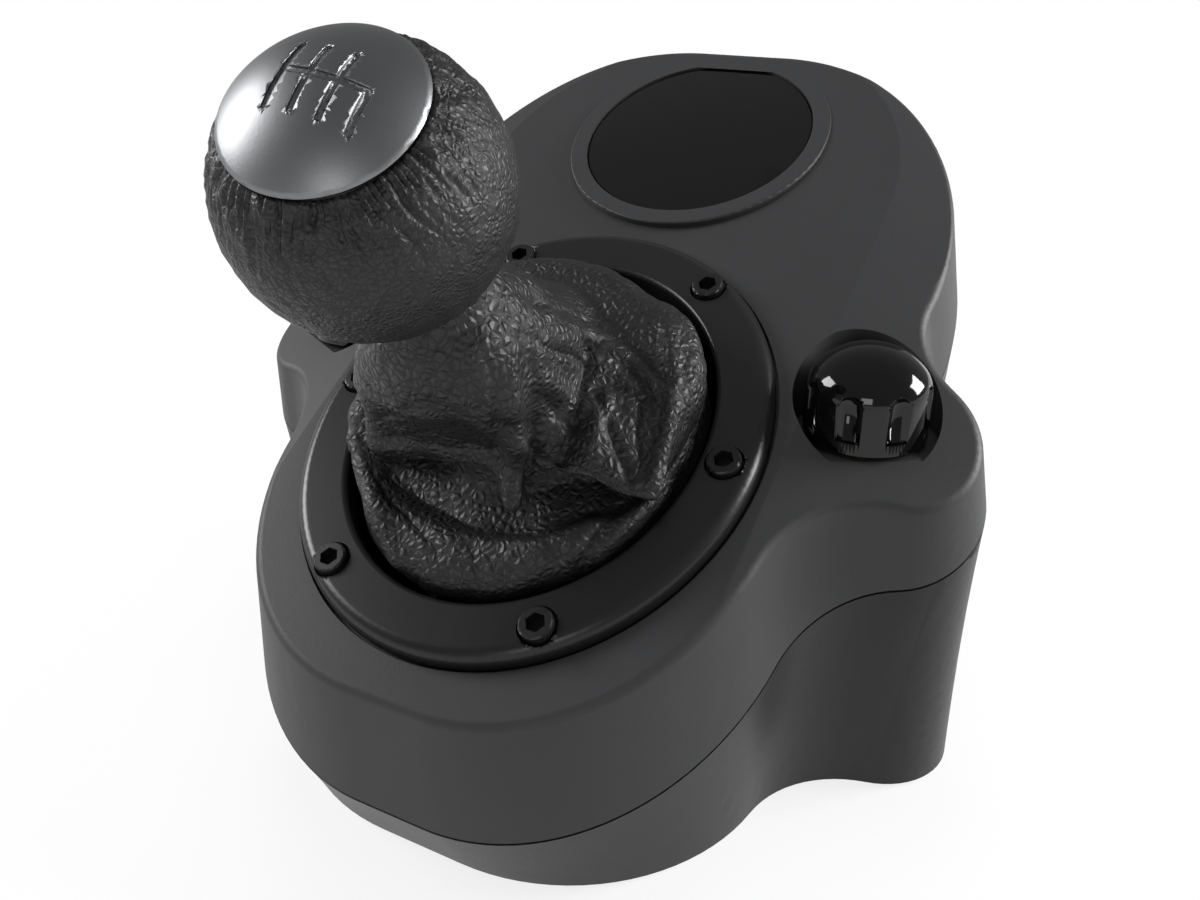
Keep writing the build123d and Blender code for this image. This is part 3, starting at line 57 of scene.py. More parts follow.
# The deck and the lever. The pivot and the lever's directions come from the part's own joints, in metres
JOINTS = {joint["name"]: joint for joint in frame["record"]["behaviour"]["joints"]}
TILT = math.radians(30.0)
NORMAL = Vector((0.0, -math.sin(TILT), math.cos(TILT)))
UPHILL = Vector((0.0, math.cos(TILT), math.sin(TILT)))
RIGHT = Vector((1.0, 0.0, 0.0))
PIVOT = Vector(JOINTS["shift"]["pos_m"])
PIVOT_DEPTH = 0.040
RING = PIVOT + NORMAL * PIVOT_DEPTH
LEVER = -Vector(JOINTS["reverse_press"]["axis"]).normalized()
SWING = Vector(JOINTS["select"]["axis"]).normalized()
LEVER_LEAN = LEVER.angle(NORMAL)
KNOB_DISTANCE = 0.1108
KNOB = PIVOT + LEVER * KNOB_DISTANCE
# The knob's cap leans from the lever's line to the driver's right, and towards the driver
CAP_TO_RIGHT, CAP_TO_DRIVER = math.radians(9.0), math.radians(3.0)
CAP_AXIS = (LEVER + RIGHT * math.tan(CAP_TO_RIGHT) - SWING * math.tan(CAP_TO_DRIVER)).normalized()
MILLIMETRES = 1000.0
FULL_TURN = 360.0

# The camera, solved from the six bezel screws. The picture plane that the creases are read in has the
# photograph's proportions.
VIEW_FROM = Vector((0.1129, -0.1779, 0.1760))
VIEW_LENS = 32.94
VIEW_SENSOR = 36.0
VIEW_ANGLES = (math.radians(63.78), 0.0, math.radians(28.17))
VIEW_TURN = Euler(VIEW_ANGLES).to_matrix()
PLANE_WIDTH, PLANE_HEIGHT = 1200.0, 900.0


class ShifterLooks(bpy.types.PropertyGroup):
    """Colours of the dressed shifter"""
    deck_colour: bpy.props.FloatVectorProperty(
        name="Deck colour", description="Moulded grey of the upper shell",
        subtype="COLOR", size=3, default=(0.030, 0.0305, 0.032))
    shell_colour: bpy.props.FloatVectorProperty(
        name="Shell colour", description="Satin black of the lower shell",
        subtype="COLOR", size=3, default=(0.008, 0.008, 0.0084))
    leather_colour: bpy.props.FloatVectorProperty(
        name="Leather colour", description="Black leather of gaiter and knob",
        subtype="COLOR", size=3, default=(0.0075, 0.0075, 0.0078))
    cap_colour: bpy.props.FloatVectorProperty(
        name="Cap colour", description="Satin metal of the knob's cap",
        subtype="COLOR", size=3, default=(0.21, 0.213, 0.22))
    gloss_colour: bpy.props.FloatVectorProperty(
        name="Gloss colour", description="Polished black of badge and clamp knobs",
        subtype="COLOR", size=3, default=(0.002, 0.002, 0.0022))
    floor_colour: bpy.props.FloatVectorProperty(
        name="Floor colour", description="Pale studio floor",
        subtype="COLOR", size=3, default=(0.86, 0.86, 0.86))


class ShifterSizes(bpy.types.PropertyGroup):
    """Sizes of the leather and of the shading"""
    leather_cell: bpy.props.FloatProperty(
        name="Leather cell", description="Width of one pebble of the gaiter's grain",
        unit="LENGTH", default=0.0018)
    knob_cell: bpy.props.FloatProperty(
        name="Knob grain", description="Width of one pebble of the knob's grain",
        unit="LENGTH", default=0.0011)
    wrinkle_depth: bpy.props.FloatProperty(
        name="Wrinkle depth", description="Depth of the knob's radial wrinkles",
        unit="LENGTH", default=0.0007)
    gaiter_thickness: bpy.props.FloatProperty(
        name="Gaiter thickness", description="Thickness of the gaiter's leather",
        unit="LENGTH", default=0.0009)
    cover_thickness: bpy.props.FloatProperty(
        name="Cover thickness", description="Thickness of the knob's leather",
        unit="LENGTH", default=0.0012)
    smooth_angle: bpy.props.FloatProperty(
        name="Smooth angle", description="Edges flatter than this are shaded smooth",
        subtype="ANGLE", default=math.radians(28.0))
    merge_distance: bpy.props.FloatProperty(
        name="Merge distance", description="Loose corners closer than this become one",
        unit="LENGTH", default=0.000002)


def body_name(node):
    """Name of the body that holds a node."""
    for name, nodes in frame["record"]["behaviour"]["bodies"].items():
        if node in nodes:
            return name
    raise ValueError("no body holds " + node)


def node_slot(node):
    """Material slot of a node."""
    for row in frame["record"]["subparts"]:
        if row["node"] == node:
            return row["material_slot"]
    raise ValueError("no slot for " + node)


def finish(slot):
    """The dressed material of a slot."""
    return bpy.data.materials[slot + "_finish"]


def deselect():
    """Leaves edit mode and selects nothing."""
    if bpy.context.object and bpy.context.object.mode != "OBJECT":
        bpy.ops.object.mode_set(mode="OBJECT")
    bpy.ops.object.select_all(action="DESELECT")


def choose(piece):
    """Selects one piece alone and makes it the active one."""
    deselect()
    piece.select_set(True)
    bpy.context.view_layer.objects.active = piece


def work_on(piece, kind, numbers, work):
    """Does the work of a mesh operator on the faces or edges with these numbers, in edit mode."""
    choose(piece)
    bpy.ops.object.mode_set(mode="EDIT")
    bpy.ops.mesh.select_mode(type=kind)
    bpy.ops.mesh.select_all(action="DESELECT")
    bpy.ops.object.mode_set(mode="OBJECT")
    items = piece.data.polygons if kind == "FACE" else piece.data.edges
    for number in numbers:
        items[number].select = True
    bpy.ops.object.mode_set(mode="EDIT")
    work()
    bpy.ops.mesh.select_mode(type="VERT")
    bpy.ops.object.mode_set(mode="OBJECT")


# Faces of a solid that lie flatter to each other than this become one
FLAT_ANGLE = math.radians(0.35)
# Share of a face's size in the normals of its corners, from 1 to 100
AREA_WEIGHT = 90
# The plateau's edge: the least angle across it, and how closely one side follows the deck
PLATEAU_ANGLE = math.radians(6.0)
PLATEAU_FLATNESS = 0.9998


def keep_plateau_crease(piece):
    """Marks the line sharp where the flat plateau meets the sloping shoulder."""
    sides = {}
    for face in piece.data.polygons:
        for key in face.edge_keys:
            sides.setdefault(key, []).append(face.normal.copy())
    rim = []
    for edge in piece.data.edges:
        pair = sides.get(edge.key, [])
        if len(pair) == 2 and pair[0].angle(pair[1], 0.0) > PLATEAU_ANGLE:
            if max(normal.dot(NORMAL) for normal in pair) > PLATEAU_FLATNESS:
                rim.append(edge.index)
    work_on(piece, "EDGE", rim, bpy.ops.mesh.mark_sharp)


def merged_copy(node, name):
    """Copy of a node's mesh with its loose triangles joined and smooth where it curves."""
    sizes = bpy.context.scene.shifter_sizes
    mesh = frame["nodes"][node].data.copy()
    mesh.name = name
    mesh.materials.clear()
    piece = bpy.data.objects.new(name, mesh)
    bpy.context.scene.collection.objects.link(piece)
    choose(piece)
    bpy.ops.object.mode_set(mode="EDIT")
    bpy.ops.mesh.select_all(action="SELECT")
    bpy.ops.mesh.remove_doubles(threshold=sizes.merge_distance)
    bpy.ops.mesh.dissolve_limited(angle_limit=FLAT_ANGLE)
    bpy.ops.object.mode_set(mode="OBJECT")
    bpy.ops.object.shade_smooth_by_angle(angle=sizes.smooth_angle)
    if node == "upper_housing":
        keep_plateau_crease(piece)
    normals = piece.modifiers.new("even_normals", "WEIGHTED_NORMAL")
    normals.keep_sharp = True
    normals.weight = AREA_WEIGHT
    bpy.ops.object.modifier_apply(modifier=normals.name)
    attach(piece, body_name(node))
    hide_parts(node)
    return piece


def new_group(name, inputs, outputs):
    """Empty shader group with its sockets."""
    group = bpy.data.node_groups.new(name, "ShaderNodeTree")
    for label, value in inputs:
        socket = group.interface.new_socket(name=label, in_out="INPUT", socket_type="NodeSocketFloat")
        socket.default_value = value
    for label in outputs:
        group.interface.new_socket(name=label, in_out="OUTPUT", socket_type="NodeSocketFloat")
    return group, group.nodes.new("NodeGroupInput"), group.nodes.new("NodeGroupOutput")


def math_node(nodes, links, operation, first, second):
    """Result of a calculation with two values, of which the first may be a plain number."""
    node = nodes.new("ShaderNodeMath")
    node.operation = operation
    if isinstance(first, float):
        node.inputs[0].default_value = first
    else:
        links.new(first, node.inputs[0])
    links.new(second, node.inputs[1])
    return node.outputs[0]


def noise_node(nodes, links, place, scale, detail):
    """Noise texture at a place, with a scale that is a number or another node's value."""
    node = nodes.new("ShaderNodeTexNoise")
    if isinstance(scale, float):
        node.inputs["Scale"].default_value = scale
    else:
        links.new(scale, node.inputs["Scale"])
    node.inputs["Detail"].default_value = detail
    links.new(place, node.inputs["Vector"])
    return node


def remapped(nodes, links, value, before, after):
    """Value moved from one range to another."""
    node = nodes.new("ShaderNodeMapRange")
    for label, limit in zip(("From Min", "From Max", "To Min", "To Max"), (*before, *after)):
        node.inputs[label].default_value = limit
    links.new(value, node.inputs["Value"])
    return node


# Noise scales, in waves a metre, and how far the pebbles' outlines wander, in metres
PATCH_SCALE = 38.0
WANDER_SCALE = 260.0
WANDER = 0.0022
CREASE_SCALE = 95.0
# How much finer waves add to the moulded texture
MOULDED_ROUGH = 0.6
# Share of a pebble's width that its rounded edge and the crack beside it take up; the crack's share is also
# the band where shade is painted into the leather's colour
PEBBLE_EDGE_SHARE = 0.42
PEBBLE_CRACK_SHARE = 0.12
FULL_RANGE = (0.0, 1.0)


def moulded_group():
    """Fine spark-eroded texture of moulded plastic: a height and a colour variation."""
    group, start, end = new_group("moulded_texture", (("Size", 0.0006),), ("Height", "Variation"))
    nodes, links = group.nodes, group.links
    place = nodes.new("ShaderNodeTexCoord").outputs["Object"]
    scale = math_node(nodes, links, "DIVIDE", 1.0, start.outputs["Size"])
    fine = noise_node(nodes, links, place, scale, detail=3.0)
    fine.inputs["Roughness"].default_value = MOULDED_ROUGH
    broad = noise_node(nodes, links, place, PATCH_SCALE, detail=2.0)
    links.new(fine.outputs["Fac"], end.inputs["Height"])
    links.new(broad.outputs["Fac"], end.inputs["Variation"])


def leather_group():
    """Pebbled leather: cells with cracks between them, and stretched wrinkles. Its Crease mask is 0 in the
    cracks and 1 on the pebbles, and carries the painted shade of the cracks.
    """
    group, start, end = new_group(
        "pebbled_leather", (("Cell", 0.0016), ("Wrinkle", 0.5)), ("Height", "Crease"))
    nodes, links = group.nodes, group.links
    place = nodes.new("ShaderNodeTexCoord").outputs["Object"]
    scale = math_node(nodes, links, "DIVIDE", 1.0, start.outputs["Cell"])
    bend = noise_node(nodes, links, place, WANDER_SCALE, detail=2.0)
    shift = nodes.new("ShaderNodeVectorMath")
    shift.operation = "MULTIPLY_ADD"
    shift.inputs[1].default_value = (WANDER, WANDER, WANDER)
    links.new(bend.outputs["Color"], shift.inputs[0])
    links.new(place, shift.inputs[2])
    cells = nodes.new("ShaderNodeTexVoronoi")
    cells.feature = "DISTANCE_TO_EDGE"
    links.new(shift.outputs[0], cells.inputs["Vector"])
    links.new(scale, cells.inputs["Scale"])
    edge = remapped(nodes, links, cells.outputs["Distance"], (0.0, PEBBLE_EDGE_SHARE), FULL_RANGE)
    edge.interpolation_type = "SMOOTHSTEP"
    # Crease mask: 0 in the cracks between pebbles, 1 on the pebbles; the leather's colour takes its painted
    # shade from it
    crack = remapped(nodes, links, cells.outputs["Distance"], (0.0, PEBBLE_CRACK_SHARE), FULL_RANGE)
    folds = noise_node(nodes, links, shift.outputs[0], CREASE_SCALE, detail=3.0)
    folds.noise_type = "RIDGED_MULTIFRACTAL"
    wrinkle = math_node(nodes, links, "MULTIPLY", folds.outputs["Fac"], start.outputs["Wrinkle"])
    height = math_node(nodes, links, "SUBTRACT", edge.outputs["Result"], wrinkle)
    links.new(height, end.inputs["Height"])
    links.new(crack.outputs["Result"], end.inputs["Crease"])


def base_material(name):
    """New material: its nodes, its links and its shader."""
    material = bpy.data.materials.new(name + "_finish")
    material.use_nodes = True
    nodes = material.node_tree.nodes
    return nodes, material.node_tree.links, nodes["Principled BSDF"]


def textured(name, group, values):
    """New material with a shared texture in it, set to this finish's values."""
    nodes, links, shader = base_material(name)
    grain = nodes.new("ShaderNodeGroup")
    grain.node_tree = bpy.data.node_groups[group]
    for label, value in values:
        grain.inputs[label].default_value = value
    return nodes, links, shader, grain.outputs


def tint(colour, share):
    """Colour made darker or lighter."""
    return tuple(channel * share for channel in colour)


def tinted(nodes, links, shader, factor, colour, low_share, high_share):
    """Base colour that goes from a low to a high share of a colour."""
    mix = nodes.new("ShaderNodeMix")
    mix.data_type = "RGBA"
    mix.inputs["A"].default_value = (*tint(colour, low_share), 1.0)
    mix.inputs["B"].default_value = (*tint(colour, high_share), 1.0)
    links.new(factor, mix.inputs["Factor"])
    links.new(mix.outputs["Result"], shader.inputs["Base Color"])


def relief(nodes, links, shader, height, strength, depth):
    """Bump from a height, its depth in metres."""
    bump = nodes.new("ShaderNodeBump")
    bump.inputs["Strength"].default_value = strength
    bump.inputs["Distance"].default_value = depth
    links.new(height, bump.inputs["Height"])
    links.new(bump.outputs["Normal"], shader.inputs["Normal"])


# Depths of the textures in metres, roughness to both sides of a plastic's own, and roughness of leather
# in its cracks and on its pebbles
PLASTIC_DEPTH = 0.00006
METAL_DEPTH = 0.00003
GLOSS_PATCH = 0.004
PLASTIC_SPREAD = 0.06
LEATHER_ROUGH = (0.70, 0.47)
LEATHER_BUMP = 0.9
PLASTIC_SPECULAR, LEATHER_SPECULAR, GLOSS_SPECULAR = 0.32, 0.42, 0.4
GLOSS_ROUGH = 0.07


def plastic(name, colour, rough, bump, size):
    """Moulded or coated finish with an even texture."""
    nodes, links, shader, grain = textured(name, "moulded_texture", (("Size", size),))
    tinted(nodes, links, shader, grain["Variation"], colour, low_share=0.92, high_share=1.08)
    rough_range = (rough - PLASTIC_SPREAD, rough + PLASTIC_SPREAD)
    ramp = remapped(nodes, links, grain["Height"], FULL_RANGE, rough_range)
    links.new(ramp.outputs["Result"], shader.inputs["Roughness"])
    relief(nodes, links, shader, grain["Height"], bump, PLASTIC_DEPTH)
    shader.inputs["Specular IOR Level"].default_value = PLASTIC_SPECULAR


def leather(name, colour, cell, wrinkle, depth):
    """Pebbled leather, rougher in its cracks and painted darker there as shade."""
    nodes, links, shader, grain = textured(name, "pebbled_leather", (("Cell", cell), ("Wrinkle", wrinkle)))
    # Painted shade: the colour falls to 0.45 of the leather's own in the cracks between pebbles and rises to
    # 1.1 on the pebbles
    tinted(nodes, links, shader, grain["Crease"], colour, low_share=0.45, high_share=1.1)
    ramp = remapped(nodes, links, grain["Crease"], FULL_RANGE, LEATHER_ROUGH)
    links.new(ramp.outputs["Result"], shader.inputs["Roughness"])
    relief(nodes, links, shader, grain["Height"], LEATHER_BUMP, depth)
    shader.inputs["Specular IOR Level"].default_value = LEATHER_SPECULAR


def metal(name, colour, rough, bump, size):
    """Bare metal with a fine even texture."""
    nodes, links, shader, grain = textured(name, "moulded_texture", (("Size", size),))
    tinted(nodes, links, shader, grain["Variation"], colour, low_share=0.94, high_share=1.06)
    relief(nodes, links, shader, grain["Height"], bump, METAL_DEPTH)
    shader.inputs["Metallic"].default_value = 1.0
    shader.inputs["Roughness"].default_value = rough


def gloss(name, colour):
    """Polished plastic."""
    nodes, links, shader, grain = textured(name, "moulded_texture", (("Size", GLOSS_PATCH),))
    tinted(nodes, links, shader, grain["Variation"], colour, low_share=0.9, high_share=1.1)
    shader.inputs["Roughness"].default_value = GLOSS_ROUGH
    shader.inputs["Specular IOR Level"].default_value = GLOSS_SPECULAR


class SHIFTER_OT_materials(bpy.types.Operator):
    """Makes the shared texture groups and every material"""
    bl_idname = "shifter.materials"
    bl_label = "Materials"

    def execute(self, context):
        looks, sizes = context.scene.shifter_looks, context.scene.shifter_sizes
        moulded_group()
        leather_group()
        deck, shell, hide = tuple(looks.deck_colour), tuple(looks.shell_colour), tuple(looks.leather_colour)
        plastic("deck_plastic", deck, rough=0.52, bump=0.5, size=0.0005)
        plastic("shell_plastic", shell, rough=0.42, bump=0.2, size=0.0006)
        plastic("bezel_coat", tint(shell, share=1.3), rough=0.30, bump=0.1, size=0.0005)
        plastic("black_steel", shell, rough=0.38, bump=0.1, size=0.0005)
        plastic("soft_rubber", tint(shell, share=0.8), rough=0.7, bump=0.4, size=0.0008)
        plastic("board_green", (0.02, 0.12, 0.05), rough=0.45, bump=0.1, size=0.001)
        leather("gaiter_leather", hide, sizes.leather_cell, wrinkle=0.25, depth=0.00024)
        leather("knob_leather", hide, sizes.knob_cell, wrinkle=0.25, depth=0.00014)
        metal("satin_metal", tuple(looks.cap_colour), rough=0.42, bump=0.5, size=0.0005)
        metal("zinc_steel", (0.5, 0.51, 0.53), rough=0.35, bump=0.3, size=0.0008)
        metal("cast_metal", (0.09, 0.09, 0.095), rough=0.55, bump=0.6, size=0.001)
        metal("brass_metal", (0.62, 0.47, 0.2), rough=0.3, bump=0.2, size=0.0008)
        gloss("gloss_black", tuple(looks.gloss_colour))
        return {"FINISHED"}


SEEN_NODES = (
    "upper_housing", "lower_housing", "base_plate", "bezel_ring", "bezel_screws", "badge_disc",
    "knob_cap", "clamp_knob_left", "clamp_knob_right", "clamp_bush_left", "clamp_bush_right",
    "grip_strips", "cable_inlet", "clamp_jaw_left", "clamp_jaw_right", "jaw_pad_left", "jaw_pad_right",
    "base_screws", "threaded_inserts")
SOFT_NODES = ("gaiter", "knob_leather")


class SHIFTER_OT_rigid(bpy.types.Operator):
    """Gives every seen rigid node a joined, smooth-shaded copy in its material"""
    bl_idname = "shifter.rigid"
    bl_label = "Rigid pieces"

    def execute(self, context):
        for node in SEEN_NODES:
            piece = merged_copy(node, node + "_skin")
            slot = node_slot(node)
            piece.data.materials.append(finish(slot))
        return {"FINISHED"}


class SHIFTER_OT_inner(bpy.types.Operator):
    """Gives the inner nodes their materials"""
    bl_idname = "shifter.inner"
    bl_label = "Inner pieces"

    def execute(self, context):
        for node, piece in frame["nodes"].items():
            if node in SEEN_NODES or node in SOFT_NODES:
                continue
            piece.data.materials.clear()
            piece.data.materials.append(finish(node_slot(node)))
        return {"FINISHED"}


def slope(before, here, after, left, right):
    """Slope of a curve through three values that doesn't overshoot."""
    first, second = (here - before) / left, (after - here) / right
    if first * second <= 0.0:
        return 0.0
    return 2.0 * first * second / (first + second)


def hermite(t, span, p1, p2, m1, m2):
    """Value between two values with their slopes, at a share t of the span between them."""
    return ((2 * t ** 3 - 3 * t ** 2 + 1) * p1 + (t ** 3 - 2 * t ** 2 + t) * m1 * span
            + (-2 * t ** 3 + 3 * t ** 2) * p2 + (t ** 3 - t ** 2) * m2 * span)


def around(rows, column, angle):
    """Value of a closed curve at an angle, from rows that start with their angle in degrees."""
    count = len(rows)
    angle = (angle - rows[0][0]) % FULL_TURN + rows[0][0]
    index = count - 1
    while rows[index][0] > angle:
        index -= 1

    def row(step):
        turns, place = divmod(index + step, count)
        return rows[place][0] + FULL_TURN * turns, rows[place][column]
    (a0, p0), (a1, p1), (a2, p2), (a3, p3) = row(-1), row(0), row(1), row(2)
    return hermite((angle - a1) / (a2 - a1), a2 - a1, p1, p2,
                   slope(p0, p1, p2, a1 - a0, a2 - a1), slope(p1, p2, p3, a2 - a1, a3 - a2))


def along(values, place):
    """Value between the steps of a list at a place from 0 to its last index."""
    last = len(values) - 1
    low = max(0, min(last - 1, int(math.floor(place))))
    p0, p1, p2, p3 = (values[max(0, min(last, low + step))] for step in (-1, 0, 1, 2))
    return hermite(place - low, 1.0, p1, p2, slope(p0, p1, p2, 1.0, 1.0), slope(p1, p2, p3, 1.0, 1.0))


def limited(value):
    """Value kept between 0 and 1."""
    return max(0.0, min(1.0, value))


# The gaiter's levels. Each row is an angle round the lever opening in degrees, a distance from the
# level's centre and a height over the deck, in millimetres. Angle 0 is the driver's right, 90 is away
# from the driver. The upper skin runs from the neck to its hem, the lower one from inside the hem to
# the bezel.
UPPER_LEVELS = (
    ((0, 10.9, 50.0), (120, 10.9, 50.0), (240, 10.9, 50.0)),
    ((0, 11.5, 45.5), (120, 11.5, 45.5), (240, 11.5, 45.5)),
    ((0, 14.0, 40.0), (90, 14.0, 40.0), (180, 14.6, 40.0), (225, 15.6, 40.0), (270, 14.6, 40.0),
     (330, 15.4, 40.0)),
    ((0, 17.0, 30.0), (40, 18.0, 30.0), (90, 18.0, 31.0), (140, 18.5, 30.0), (180, 19.6, 30.0),
     (212, 22.2, 30.0), (250, 17.4, 30.0), (285, 17.2, 30.0), (318, 19.4, 29.0), (338, 17.2, 28.0)),
    ((0, 17.2, 19.0), (14, 17.6, 18.5), (40, 20.5, 18.0), (60, 20.0, 19.0), (90, 22.5, 19.0),
     (122, 23.5, 18.5), (150, 22.5, 19.0), (180, 24.0, 20.0), (200, 26.5, 19.0), (215, 28.0, 18.0),
     (232, 22.6, 18.5), (252, 18.6, 18.0), (275, 17.6, 17.5), (294, 18.6, 17.5), (306, 21.8, 17.5),
     (320, 18.2, 17.5), (338, 17.8, 17.0), (350, 19.0, 17.5)),
    ((0, 23.8, 12.0), (13, 22.5, 12.5), (30, 27.0, 12.0), (57, 23.6, 13.0), (85, 26.4, 13.0),
     (122, 28.6, 12.5), (150, 26.0, 13.0), (180, 27.5, 13.5), (200, 29.5, 12.0), (217, 31.0, 11.0),
     (232, 25.0, 12.0), (252, 19.8, 12.6), (275, 18.4, 13.0), (290, 19.2, 12.6), (301, 22.6, 11.5),
     (312, 19.2, 12.6), (328, 21.4, 12.6), (341, 28.0, 10.0), (350, 26.4, 11.0)),
    ((0, 31.8, 9.4), (16, 33.0, 10.6), (38, 34.6, 11.0), (62, 30.6, 12.6), (85, 31.4, 12.4),
     (120, 34.2, 11.4), (150, 31.0, 11.0), (180, 30.0, 11.0), (200, 31.4, 9.0), (218, 32.6, 7.0),
     (232, 26.6, 8.6), (252, 20.8, 10.0), (275, 19.2, 11.2), (287, 20.0, 10.8), (296.5, 25.0, 8.6),
     (306, 21.0, 10.6), (326, 25.4, 10.0), (339, 35.8, 6.0), (349, 33.6, 7.6)),
    ((0, 35.6, 7.0), (20, 38.0, 7.6), (38, 39.0, 7.4), (62, 35.4, 8.6), (85, 35.6, 8.6), (120, 37.2, 7.6),
     (150, 33.6, 7.6), (180, 31.4, 8.4), (200, 31.8, 6.6), (218, 33.2, 4.6), (230, 27.4, 6.0),
     (250, 21.4, 7.6), (272, 19.8, 9.2), (285, 20.6, 9.0), (291, 24.0, 7.2), (295.3, 28.0, 6.2),
     (300, 24.2, 7.4), (308, 22.6, 8.8), (318, 24.5, 8.6), (328.6, 28.6, 7.6), (334, 34.0, 5.0),
     (339.6, 39.2, 3.2), (346, 38.2, 4.2)),
    ((0, 36.2, 3.6), (20, 38.4, 3.8), (38, 39.4, 3.4), (62, 36.8, 4.0), (85, 36.8, 4.0), (120, 37.6, 3.4),
     (150, 34.0, 4.0), (180, 31.0, 6.0), (200, 30.6, 5.0), (218, 31.6, 3.4), (230, 25.6, 5.0),
     (250, 19.2, 7.0), (272, 18.2, 8.2), (285, 19.0, 8.0), (291, 22.4, 6.2), (295.3, 26.4, 5.0),
     (300, 22.6, 6.4), (308, 20.8, 7.8), (318, 22.4, 7.6), (328.6, 26.4, 6.4), (334, 32.0, 3.8),
     (339.6, 37.6, 2.0), (346, 37.2, 2.2)),
    ((0, 35.6, -1.0), (38, 38.0, -1.0), (85, 38.0, -1.0), (120, 37.0, -1.0), (150, 33.0, 0.5),
     (180, 27.0, 5.4), (218, 27.0, 5.0), (250, 18.6, 7.0), (272, 17.4, 8.0), (295.3, 19.0, 6.4),
     (318, 18.6, 8.0), (334, 24.0, 4.4), (346, 33.0, 0.0)),
    ((0, 35.0, -3.6), (38, 37.0, -3.6), (85, 38.5, -3.6), (120, 37.0, -3.6), (150, 30.0, -2.0),
     (180, 24.0, 5.6), (218, 21.0, 6.0), (250, 18.0, 7.6), (272, 17.0, 8.4), (295.3, 17.6, 7.8),
     (318, 17.6, 8.4), (334, 19.0, 6.0), (346, 30.0, -2.6)),
)
LOWER_LEVELS = (
    ((0, 30.0, 2.0), (90, 30.0, 2.0), (150, 26.0, 3.0), (180, 22.0, 7.0), (205, 24.0, 7.4),
     (225, 19.0, 8.0), (270, 17.6, 7.6), (320, 19.0, 6.0), (340, 25.0, 3.0)),
    ((0, 32.0, 0.0), (90, 33.0, 0.0), (150, 29.0, 3.0), (180, 27.0, 7.0), (205, 28.4, 6.0),
     (225, 23.0, 3.6), (250, 20.0, 3.0), (272, 20.0, 3.0), (295, 22.0, 1.4), (318, 23.0, 1.6),
     (340, 29.0, 0.4)),
    ((0, 34.0, 0.0), (90, 35.6, 0.0), (150, 32.4, 4.0), (180, 31.4, 8.0), (200, 32.6, 8.8),
     (214, 30.6, 5.4), (232, 28.0, 2.6), (252, 27.6, 1.6), (272, 27.0, 1.2), (295, 27.6, 0.4),
     (318, 29.0, 0.8), (334, 33.0, 0.4)),
    ((0, 35.6, 0.0), (90, 37.4, 0.0), (150, 35.0, 3.4), (180, 34.6, 7.4), (200, 36.0, 8.0),
     (214, 35.0, 5.6), (232, 33.2, 4.8), (243, 34.4, 5.4), (256, 33.6, 3.8), (272, 33.0, 3.4),
     (290, 33.4, 3.0), (305, 34.8, 3.8), (318, 34.6, 3.4), (330, 36.4, 2.4)),
    ((0, 36.4, -0.6), (90, 39.4, -0.6), (150, 37.0, 1.0), (180, 36.8, 3.6), (200, 38.4, 4.6),
     (214, 38.0, 2.6), (230, 37.4, 2.0), (242, 38.6, 2.4), (256, 38.6, 1.6), (272, 38.6, 1.4),
     (290, 38.8, 1.2), (305, 39.4, 1.6), (318, 38.8, 1.2), (332, 38.2, 1.0)),
    ((0, 36.8, -2.4), (90, 41.0, -2.4), (150, 38.2, -1.6), (180, 37.6, -0.6), (200, 38.4, 0.6),
     (214, 38.6, -1.4), (232, 39.2, -1.6), (252, 41.0, -1.6), (272, 41.6, -1.8), (290, 41.2, -1.8),
     (318, 39.6, -1.8), (340, 38.2, -2.0)),
    ((0, 37.6, -5.6), (90, 42.0, -5.6), (180, 37.8, -5.6), (270, 42.0, -5.6)),
)
# Creases and ridges of the two skins, each with its depth in millimetres (a ridge is above zero), its
# half width and its line, both in steps of the camera's picture plane, 1200 steps wide.
UPPER_CREASES = (
    (1.5, 9, ((507, 326), (509, 350), (513, 400), (516, 440), (514, 470), (511, 510))),
    (-1.0, 11, ((470, 330), (489, 370), (496, 410), (497, 448))),
    (-0.7, 8, ((532, 360), (536, 400), (534, 440), (530, 470))),
    (-2.0, 7, ((593, 340), (588, 370), (579, 400), (567, 440), (556, 476))),
    (0.9, 8, ((606, 398), (596, 430), (584, 462))),
    (-1.1, 5, ((597, 393), (606, 420), (617, 450), (630, 482))),
    (-1.2, 5, ((595, 345), (612, 352), (628, 368), (642, 385))),
    (-0.8, 5, ((596, 366), (575, 356), (556, 352), (538, 340))),
    (-0.9, 5, ((597, 385), (620, 388), (648, 400))),
    (-0.8, 4, ((593, 345), (604, 336), (622, 334))),
    (-1.8, 10, ((500, 287), (530, 294), (560, 304), (593, 316), (625, 335), (650, 358), (667, 378))),
    (-0.5, 6, ((386, 372), (420, 366), (452, 380))),
    (-0.6, 7, ((382, 418), (430, 404), (478, 424))),
    (-0.5, 6, ((404, 350), (440, 362), (478, 392))),
    (-0.4, 5, ((390, 440), (430, 432), (470, 446))),
    (0.9, 9, ((668, 330), (673, 380), (668, 430), (652, 478))),
    (0.8, 6, ((520, 446), (545, 464), (580, 478), (626, 494))),
    (-0.6, 6, ((540, 300), (552, 330), (560, 352))),
    (-0.7, 5, ((640, 398), (636, 430), (640, 462))),
    (-0.5, 5, ((546, 400), (560, 420), (572, 424))),
)
LOWER_CREASES = (
    (-1.0, 9, ((388, 474), (430, 502), (480, 528), (540, 532), (592, 508))),
    (1.2, 8, ((350, 440), (366, 486), (384, 530), (398, 562))),
    (-0.8, 5, ((372, 470), (392, 500), (420, 528), (440, 556))),
    (-0.5, 5, ((470, 545), (478, 566), (480, 588))),
    (-0.5, 5, ((548, 545), (566, 560), (578, 582))),
    (-1.0, 6, ((622, 508), (602, 522), (588, 546), (580, 566))),
    (0.8, 7, ((646, 506), (622, 530), (596, 556))),
)

# Height over the deck where the gaiter's neck ends and its hem begins, in metres
PARTING = 0.012
